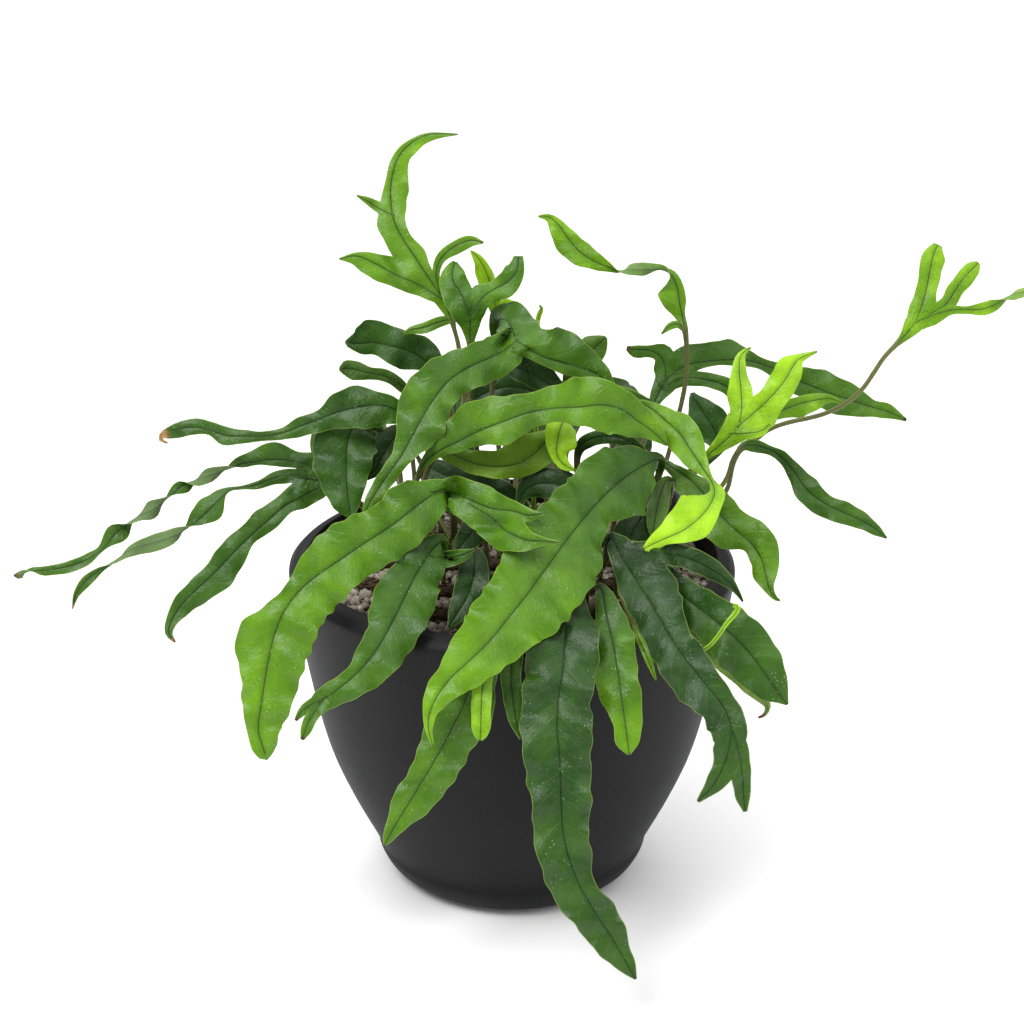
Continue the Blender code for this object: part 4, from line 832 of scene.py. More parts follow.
leaves = {slot: leaf_finish(slot, cast, dull, wire) for slot, cast, dull, wire in (
    ("frond_young", NO_CAST, 0.32, OLIVE_WIRE),
    ("frond_dark", (0.95, 1.0, 1.0), 0.36, WIRE),
    ("frond_olive", (1.1, 0.95, 0.9), 0.42, WIRE),
    ("frond_mature", NO_CAST, 0.33, WIRE),
    ("frond_shade", (0.95, 0.95, 1.2), 0.34, WIRE),
    ("frond_bright", NO_CAST, 0.32, WIRE),
)}
CROWN = [
    ("crown_tall", "frond_young", "rear", -22, (0.5, 0.8), 0, 0, 0.8,
     [(-24.5, 76, -14, 1.1, 1.1), (-26.5, 84, -12, 1.1, 1.1), (-28, 89, -11, 2, 2),
      (-31.5, 97, -10, 4, 3), (-38, 107, -9, 6, 3), (-45, 117.5, -9, 8, 5.4), (-50, 125, -9, 8, 4),
      (-54, 133.5, -10, 7.9, 5.5), (-55.5, 143, -11, 4.5, 7.8), (-55, 152, -11, 2.8, 8),
      (-52.5, 161, -10, 2.8, 5.5), (-47, 168, -8, 2, 4.8), (-38, 172.6, -6, 1, 3.2),
      (-25, 172.7, -4, 0.4, 0.4)],
     [[(-54, 135.5, -10, 2, 2), (-61, 139, -9, 2.2, 3), (-66.5, 142.3, -8, 1.4, 2),
       (-71, 144.8, -7, 0.4, 0.4)],
      [(-31.5, 97, -10, 2.5, 2.5), (-42, 103.5, -7, 5, 5), (-54, 109, -5, 6, 7.5),
       (-63, 113.8, -4, 6.8, 4.8), (-71, 117, -3, 4.8, 2), (-79, 115.7, -2, 0.5, 0.5)],
      [(-32, 98, -10, 1.5, 1.5), (-34.2, 105, -6, 1.6, 1.6), (-34.5, 111, -4, 2, 1.8),
       (-32, 116.5, -2, 2.6, 2.4), (-26, 121.5, 0, 2.6, 3.8), (-19, 124.2, 1, 2.3, 3.2),
       (-13, 123.2, 2, 0.5, 0.5)],
      [(-27.6, 88, -11, 1.5, 1.5), (-33, 87, -13, 2.5, 2.6), (-40, 84.4, -14, 2.8, 2.4),
       (-46, 83.2, -15, 1.8, 1.8), (-50, 81.2, -15, 0.4, 0.4)]]),
    ("crown_paw", "frond_dark", "rear", -13, (0.44, 0.54), 0, 0, 1,
     [(-19.5, 70, -5, 1.2, 1.2), (-19, 77, -3, 1.8, 1.8), (-19, 83, -1, 4, 3.5),
      (-18.8, 90, 1, 8.5, 6), (-18.5, 94, 2, 9, 7)],
     [[(-19.5, 90, 1, 6, 5), (-23, 99, 2, 9, 5.5), (-27, 106, 2, 6.5, 6.5), (-27, 111, 1, 4, 5.2),
       (-26, 114.5, 0, 1.2, 1.2)],
      [(-18, 91, 1, 5, 5), (-13.5, 98, 3, 6.5, 5), (-8, 101.8, 4, 4, 6), (-1.5, 105.5, 5, 5.5, 6),
       (2.6, 111, 5, 5.4, 3.2), (3, 117, 4, 2.2, 2.2)]]),
    ("crown_pale", "frond_young", "rear", -4, (0.75, 0.92), 0, 0, 1,
     [(-4, 60, -42, 1.1, 1.1), (-6, 76, -40, 1.1, 1.1), (-7, 86, -36, 1.3, 1.3),
      (-7.5, 94, -31, 3.5, 3), (-9.5, 103, -26, 5.5, 3), (-12, 110, -22, 4.8, 2.8),
      (-15, 115.5, -19, 3, 2), (-18.8, 119.4, -17, 0.6, 0.6)],
     [[(-7.2, 90, -33.4, 2, 2), (-3.5, 95, -31, 2.5, 3), (-0.5, 94.5, -29, 2.4, 3.6),
       (2.4, 91.5, -28, 1, 1.6)]]),
    ("wave_left", "frond_dark", "rear", -34, (0.22, 0.34), 0, 0, 1.2,
     [(-31, 58, -32, 1.3, 1.3), (-34, 64, -29, 3, 3), (-40, 69.5, -27, 5.5, 9),
      (-48, 74, -25, 9.5, 8.5), (-56, 76, -24, 7.5, 9), (-63, 77.5, -23, 5.5, 10.5),
      (-69, 77, -21, 5, 9.6), (-74, 77.2, -19, 2.4, 6.4), (-76, 78.5, -18, 1.2, 1.2)],
     []),
    ("curl_left", "frond_olive", "rear", -43, (0.28, 0.36), 0, 0, 1,
     [(-44, 50, -24, 1.2, 1.2), (-50, 57, -20, 2.5, 2.5), (-57, 61.6, -17, 2.4, 3.4),
      (-65, 63.4, -15, 3, 3), (-72, 65.2, -14, 5.2, 4), (-76.5, 65.5, -13, 3, 4),
      (-79, 65.5, -12, 1, 1)],
     []),
    ("sprout_tiny", "frond_young", "rear", 10, (0.8, 1), 0, 0, 1,
     [(12, 70, -19, 0.8, 0.8), (12, 80, -18, 0.8, 0.8), (11.8, 86, -17, 1, 1),
      (12.6, 90, -16, 1.5, 1), (13.6, 93, -15, 0.9, 0.9), (12.6, 94.6, -14, 0.5, 0.5)],
     []),
]
place_fronds(CROWN)

# Fronds of the middle: broad glossy blades that arch forward over the crown and fork, with
# paler young ones, and ones under them that are painted darker as painted shade.
CENTRE = [
    ("arch_front", "frond_mature", "centre", -6, (0.38, 0.56), 0, 0, 1,
     [(-7, 66, -26, 1.3, 1.3), (-8, 80, -20, 1.8, 1.8), (-6, 87.5, -10, 5, 5), (-3, 88, 2, 9, 7),
      (0, 83.5, 12, 12, 6), (2, 78, 20, 13, 6)],
     [[(3, 79, 19, 7, 7), (-6, 72.5, 26, 10, 9), (-18, 67, 31, 10.5, 9.5),
       (-28.5, 60.3, 35, 9, 12.5), (-36.5, 50.5, 38, 9.5, 14.5), (-42, 41.5, 40, 12, 12),
       (-46.5, 33, 42, 9, 7.5), (-51, 25, 44, 5, 4.5), (-57, 16.5, 46, 4.5, 4),
       (-62, 9, 47, 3.6, 3.6), (-66, 2, 48, 2.4, 2.4), (-68, -3, 48, 0.6, 0.6)],
      [(1, 79, 19, 7, 7), (7, 75, 22, 10.5, 4.5), (14, 71, 22, 14.5, 3.5), (22.5, 68.5, 21, 15, 5),
       (31, 66, 19, 11, 5), (39, 63, 17, 6.5, 5), (46, 57, 15, 2.2, 5), (54, 54, 12, 2.4, 3.2),
       (63, 51.2, 9, 0.5, 0.5)]]),
    ("under_arch", "frond_dark", "centre", 4, (0.14, 0.22), 0, 0, 1,
     [(-9, 56, -8, 1.2, 1.2), (-7, 64, -3, 2.2, 2.2), (1, 66.5, 2, 6, 5.5), (9.5, 63, 4, 8, 6),
      (18, 58, 5, 5.5, 4.5), (26, 54.5, 5, 1, 1)],
     []),
    ("behind_arch", "frond_olive", "rear", 22, (0.4, 0.46), 0, 0, 1,
     [(23, 52, -42, 1.2, 1.2), (27, 61, -36, 4, 4), (32, 69, -32, 6.5, 7),
      (37.5, 74.5, -29, 7, 6.5), (41, 78, -27, 4, 3.6), (43, 80, -26, 1, 1)],
     []),
    ("centre_bright", "frond_bright", "centre", -28, (0.48, 0.66), 0, 0, 1,
     [(-43, 16, 30, 1.3, 1.3), (-39.5, 23, 34, 2.4, 2.2), (-33, 28, 37, 5.5, 3),
      (-25, 32, 40, 10.5, 4.5), (-15, 37, 43, 14, 7), (-5, 41, 45, 12.5, 10.5),
      (8, 45.5, 46, 9, 7.5), (20, 47.5, 46, 10.5, 6.5), (31, 48, 46, 14, 9),
      (41, 49, 45, 12, 12.5), (50, 47, 43, 8.5, 12.5), (57, 42, 41, 7.5, 9),
      (64, 37, 39, 5.5, 4.5), (71, 30.5, 37, 0.6, 0.6)],
     []),
    ("centre_olive", "frond_olive", "middle", -22, (0.62, 0.72), 0, 0, 1,
     [(-38, 21, 16, 1.3, 1.3), (-34, 27, 19, 2.4, 2.4), (-27, 26, 21, 3.5, 4),
      (-18, 22.5, 24, 6, 5), (-8, 20.8, 26, 7.5, 5.4), (2, 22, 27, 10, 6.5), (10, 26.5, 26, 11, 8),
      (16.5, 33, 24, 6, 6.5), (20, 38, 22, 1.6, 1.6)],
     []),
    ("centre_young", "frond_young", "middle", 20, (0.95, 1), 0, 0, 1,
     [(25, 30, 10, 1.1, 1.1), (25.5, 40, 18, 1.6, 1.6), (24, 42, 25, 5, 5), (21.8, 37, 30, 8, 6.8),
      (20.5, 30, 32, 8.5, 4.8), (21, 25, 31.5, 5, 3), (24.5, 21, 31, 2.6, 2.2),
      (29, 19, 31, 0.6, 0.6)],
     []),
]
place_fronds(CENTRE)

# Fronds to the left: long narrow ribbons that wave and twist on their way out, thin at the
# tips, with older blades hanging close to the planter, painted darker as painted shade.
LEFT = [
    ("left_long", "frond_mature", "centre", -44, (0.3, 0.4), 12, 0, 1,
     [(-47, 34, 4, 1.3, 1.3), (-48.5, 42, 8, 3.6, 3), (-54, 47, 10, 8, 5),
      (-61, 48.8, 11, 10.5, 6.2), (-70, 48, 11, 10, 10), (-79, 45.8, 11, 8, 8.6),
      (-88, 42.5, 10, 6, 4), (-96, 39.5, 9, 5, 4.4), (-104, 36.4, 9, 3.4, 2.6),
      (-113, 34.6, 8, 2.2, 2.4), (-122, 34.6, 8, 3.2, 3), (-131, 35, 7, 4.5, 4),
      (-138.5, 37.6, 6, 2.4, 4), (-146, 38.7, 5, 3.6, 4.2), (-153, 37.8, 4, 4, 3),
      (-159, 35.8, 3, 3, 1.8), (-160.5, 33, 4, 1, 1), (-157.5, 31.6, 5, 0.5, 0.5)],
     []),
    ("left_hanging", "frond_dark", "centre", -53, (0.28, 0.36), 0, 0, 1.1,
     [(-56, 30, -12, 1.2, 1.2), (-62, 39, -9, 2.5, 2.5), (-69, 42, -4, 8, 8),
      (-73.5, 37, 0, 12.5, 14), (-75.5, 29, 3, 13.5, 15.5), (-75.8, 20, 5, 11.2, 15),
      (-75.4, 11, 6, 8.6, 11), (-74.4, 3, 7, 5, 7.5), (-73.5, -3, 7, 1, 1)],
     []),
    ("left_shadow", "frond_dark", "centre", -36, (0.12, 0.2), 0, 0, 1,
     [(-46, 30, -14, 1.2, 1.2), (-50, 36, -12, 4, 4), (-55, 32.5, -9, 7.5, 7), (-59, 26, -7, 7, 6),
      (-62.5, 19.5, -6, 3.5, 3.5), (-68.5, 14.5, -6, 1, 1)],
     []),
    ("left_paw", "frond_shade", "centre", -63, (0.36, 0.48), 3, 0, 1,
     [(-66, 0, -10, 1.3, 1.3), (-74, 8, -10, 2.2, 2.2), (-82, 13, -9, 5, 5),
      (-90, 14.5, -8, 7.5, 7.5), (-97, 15.5, -8, 6, 6)],
     [[(-86, 17, -9, 3, 3), (-92, 21, -9, 3.5, 6.5), (-99, 23, -10, 3, 4.6),
       (-107, 24, -11, 3.4, 8), (-115, 23.5, -12, 2, 6.6), (-123, 22, -13, 2, 3.6, 20),
       (-130, 19.6, -13, 2.6, 2.6, 90), (-138.5, 16.6, -13, 3.6, 3.2, 180),
       (-145.5, 14.4, -13, 2.8, 2.8, 258), (-151, 11.8, -13, 3.6, 3.2, 345),
       (-157, 6.6, -12, 2.8, 2.8, 440), (-164, 1.2, -11, 4.2, 3.8, 535),
       (-172.5, -3, -10, 3, 3, 615), (-181, -9.6, -9, 5.2, 4.6, 715),
       (-188, -18, -8, 2.8, 2.8, 780), (-196, -22.6, -7, 3, 2.6, 735),
       (-205, -25.4, -6, 3, 2.4, 720), (-214, -26.8, -5, 2.4, 2, 725),
       (-221, -27.2, -4, 1.8, 1.8, 795), (-225, -29, -4, 2, 2, 880),
       (-228, -29, -4, 0.4, 0.4, 900)],
      [(-95, 16, -8, 3, 3), (-102, 17, -7, 4, 3), (-109, 15.4, -6, 3, 2.8),
       (-116, 12.6, -5, 2.2, 1.8), (-124, 10.8, -4, 1.6, 1.4, 40), (-130, 9, -4, 2.4, 2.4, 70),
       (-137, 2.4, -3, 6.6, 6.2, 10), (-143, -3.4, -3, 3.6, 5, 20),
       (-148.5, -7.4, -2, 2.4, 2.4, 90), (-156, -11.6, -2, 3.6, 3.4, 170),
       (-165, -14.4, -1, 3.8, 4.2, 180), (-173, -16.6, 0, 2.2, 3.4, 185),
       (-181, -21.8, 0, 2, 2, 255), (-189, -26.6, 1, 2, 1.8, 330),
       (-195.5, -32.2, 2, 2.8, 2.4, 350), (-199.5, -38, 2, 1.6, 1.4, 350),
       (-201, -44.5, 3, 0.3, 0.3, 350)],
      [(-88, 11, -7, 5, 5), (-96, 7, -4, 5.4, 8), (-104, 2.6, -2, 4.2, 5.4), (-112, -4.4, 0, 5, 7),
       (-120, -11.4, 1, 3.6, 6.2), (-128, -19.4, 2, 7, 7), (-135.5, -27.4, 2, 9, 5.4),
       (-143.5, -34.8, 2, 7.4, 5), (-150.5, -41.8, 2, 5.6, 4.6), (-155.6, -49.5, 3, 3.2, 2.8),
       (-157, -55.6, 4, 1.9, 1.6), (-154, -59.6, 5, 0.5, 0.5)]]),
]
place_fronds(LEFT)

# Fronds over the front of the rim: the broadest and glossiest, which bend over the lip and
# hang down before the planter, the longest to below its foot as the viewer sees it.
FRONT = [
    ("front_left", "frond_bright", "middle", -31, (0.46, 0.78), 0, 0, 1,
     [(-27, -8, 30, 1.4, 1.4), (-27.5, 3, 42, 1.8, 1.8), (-30, 10, 50, 4, 4), (-36, 8, 55, 9, 8),
      (-45, 1.5, 60, 13, 13.5), (-56, -7, 64, 14.5, 12), (-67, -14, 68, 14, 14),
      (-78, -21.5, 71, 13.8, 15), (-89, -29, 74, 16.5, 11.6), (-98, -37, 76, 17.5, 6.6),
      (-104.5, -46, 78, 18, 8.6), (-108.5, -56, 79, 18.4, 16.3), (-111, -66, 80, 17, 16),
      (-113, -77, 80, 15.6, 11), (-114.6, -88, 79, 13.6, 9.2), (-116, -99, 78, 10.6, 5.6),
      (-114, -107, 77, 7.4, 5.2), (-112.6, -111.5, 76, 3.4, 3.4)],
     [[(-36, 9, 54, 5, 5), (-27, 8.4, 58, 8, 8), (-18, 5, 62, 9, 9), (-9, 1.5, 67.4, 8.4, 7),
       (0, 0.6, 72.4, 5, 5), (7, -1.6, 76.6, 3.6, 3.2), (13.2, -0.8, 79, 0.8, 0.8)],
      [(-20, 4, 61.4, 6, 8), (-10, -2.4, 70, 8, 9), (-2, -9, 81.4, 8.5, 9.5),
       (6, -12.6, 88.6, 5.4, 6), (13, -13.4, 92, 2.4, 2.4), (22.5, -14, 95, 0.5, 0.5)]]),
    ("front_forked", "frond_mature", "front", -40, (0.3, 0.54), 2, 0, 1.2,
     [(-33, -24, 44, 1.4, 1.4), (-32, -14, 51, 3.5, 3.5), (-37, -18, 57, 8, 8),
      (-43.5, -28, 65.5, 12, 10.5), (-48.5, -38, 74, 14.5, 14), (-53.5, -48, 81, 14.5, 13),
      (-58, -56.5, 86, 13.5, 9), (-64, -66, 90, 12.5, 8), (-72, -74.8, 93, 10, 4.8),
      (-80.5, -81.8, 95, 7, 5.4), (-87, -86.6, 96, 5, 5.4), (-89, -88.6, 96.4, 4.8, 4)],
     [[(-84, -84, 95.6, 3.5, 3.5), (-92.6, -88.6, 97, 2.6, 2.6), (-96.4, -91.8, 97.6, 2, 2),
       (-99, -95.4, 98, 0.7, 0.7)],
      [(-86, -86, 96, 3.6, 3.6), (-91.6, -93.4, 97, 3.2, 3), (-94.4, -99.6, 98, 2.8, 2.4),
       (-96, -104.2, 98, 0.8, 0.8)],
      [(-39, -20, 58.6, 3, 3), (-30, -21, 60, 3.6, 4.4), (-23, -19.8, 62, 2.8, 3),
       (-16, -17, 64, 0.5, 0.5)]]),
    ("front_broad", "frond_bright", "middle", 56, (0.2, 0.8), 0, 0, 1,
     [(62, 4, 7, 1.4, 1.4), (67.4, 18, 16, 1.8, 1.8), (67.2, 23.6, 26, 3.2, 3.2),
      (62.5, 22.4, 33, 6, 6.5), (55, 18, 40, 14, 15), (46, 11, 48, 18.5, 18),
      (38, 3, 56, 10.5, 17), (30, -6.5, 65, 14.5, 18.5), (22, -17, 74, 21.5, 20),
      (14, -28, 82, 22, 20), (6, -39, 90, 21.5, 18), (-2, -49, 97, 18, 17),
      (-11, -60, 104, 14, 15.5), (-20, -68.5, 109, 12, 12), (-28, -76, 113, 9.6, 7.6),
      (-34, -84, 115, 6.2, 6.4), (-37.6, -92, 116, 3.4, 3.4), (-38.2, -99.4, 117, 2, 1.6),
      (-36.2, -107, 117, 0.5, 0.5)],
     []),
    ("front_hanging", "frond_mature", "front", 20, (0.14, 0.36), 0, 0, 1.2,
     [(26, -40, 52, 1.4, 1.4), (26.5, -34, 62, 3, 3), (26, -42, 73, 9, 9),
      (24.6, -52, 83, 14.5, 15.5), (24, -62, 90, 16, 17.5), (23, -74, 95, 15.5, 17),
      (21.2, -86, 98, 15, 16.6), (20.6, -98, 100, 16.6, 17), (21.6, -110, 101, 14.8, 16.6),
      (22.2, -122, 101, 14, 15.6), (22.6, -134, 101, 13.8, 13.4), (23.4, -147, 100, 11.6, 13.8),
      (26.6, -160, 98, 10.6, 13.6), (31.6, -172, 96, 6.8, 13.4), (38, -183, 93, 9.2, 11),
      (44.6, -193, 90, 8, 10), (50, -202, 88, 4.8, 7.4), (53.6, -208.4, 87, 3.4, 4.2),
      (56.6, -213.6, 86, 0.6, 0.6)],
     []),
    ("front_strip", "frond_shade", "front", 8, (0.34, 0.44), 0, 0, 1,
     [(6, -36, 62, 1.2, 1.2), (4, -45, 78, 3, 3), (1.6, -56, 87.4, 4.6, 4.6), (0, -66, 91, 5.2, 5),
      (-0.6, -76, 92, 4.8, 4.6), (0.6, -86, 93, 4.4, 4.4), (2, -95, 93, 3, 3.6),
      (4.2, -104, 93, 0.8, 0.8)],
     []),
    ("front_low", "frond_mature", "front", -11, (0.36, 0.58), 0, 0, 1,
     [(-6, -33, 58, 1.3, 1.3), (-7, -43, 74, 3, 3), (-11, -54, 87, 6, 6), (-14, -66, 93.4, 8, 8),
      (-18.4, -79, 96.4, 11.5, 11), (-23, -90, 98, 14.8, 14), (-29, -102, 98.6, 12.6, 12),
      (-35, -113, 98.4, 12.6, 9.4), (-41, -123, 98, 11.6, 7.6), (-47, -133, 97, 9.4, 8.2),
      (-52.4, -141.6, 96, 5.2, 5), (-56.6, -149, 95, 2.6, 2.6), (-58.2, -152.4, 95, 0.6, 0.6)],
     []),
    ("front_tongue", "frond_young", "front", -1, (0.55, 0.85), 0, 0, 1,
     [(-1, -36, 70, 1.1, 1.1), (-3, -50, 89, 2.4, 2.4), (-10, -64, 99.4, 4, 4),
      (-13.2, -77, 104, 4.5, 4.5), (-14, -88, 106, 4.6, 4.6), (-14.2, -98, 107, 4.4, 4.4),
      (-14.4, -102.4, 107, 3, 3), (-14.6, -104.4, 107, 1.2, 1.2)],
     []),
    ("front_ribbon", "frond_bright", "front", 33, (0.16, 0.74), 0, 0, 1,
     [(38, -34, 52, 1.3, 1.3), (41, -36, 64, 3.6, 3), (43, -46, 73, 7.6, 5),
      (45.4, -57, 79, 10.2, 6.4), (47.4, -67, 83, 9.6, 8), (49, -77, 86, 9, 11),
      (50.4, -87, 88, 9.2, 8.8), (51.8, -97, 89, 7.8, 5.4), (52.8, -105, 89, 5.8, 5.8),
      (53.6, -111, 89, 0.8, 0.8)],
     []),
    ("front_sliver", "frond_young", "front", 46, (0.7, 0.8), 0, 0, 1,
     [(51, -42, 60, 0.9, 0.9), (55, -51, 70, 1.6, 1.4), (59, -60, 76, 2.2, 1.6),
      (62.4, -68, 79, 2, 1.5), (65.8, -77, 80, 0.4, 0.4)],
     []),
]
place_fronds(FRONT)
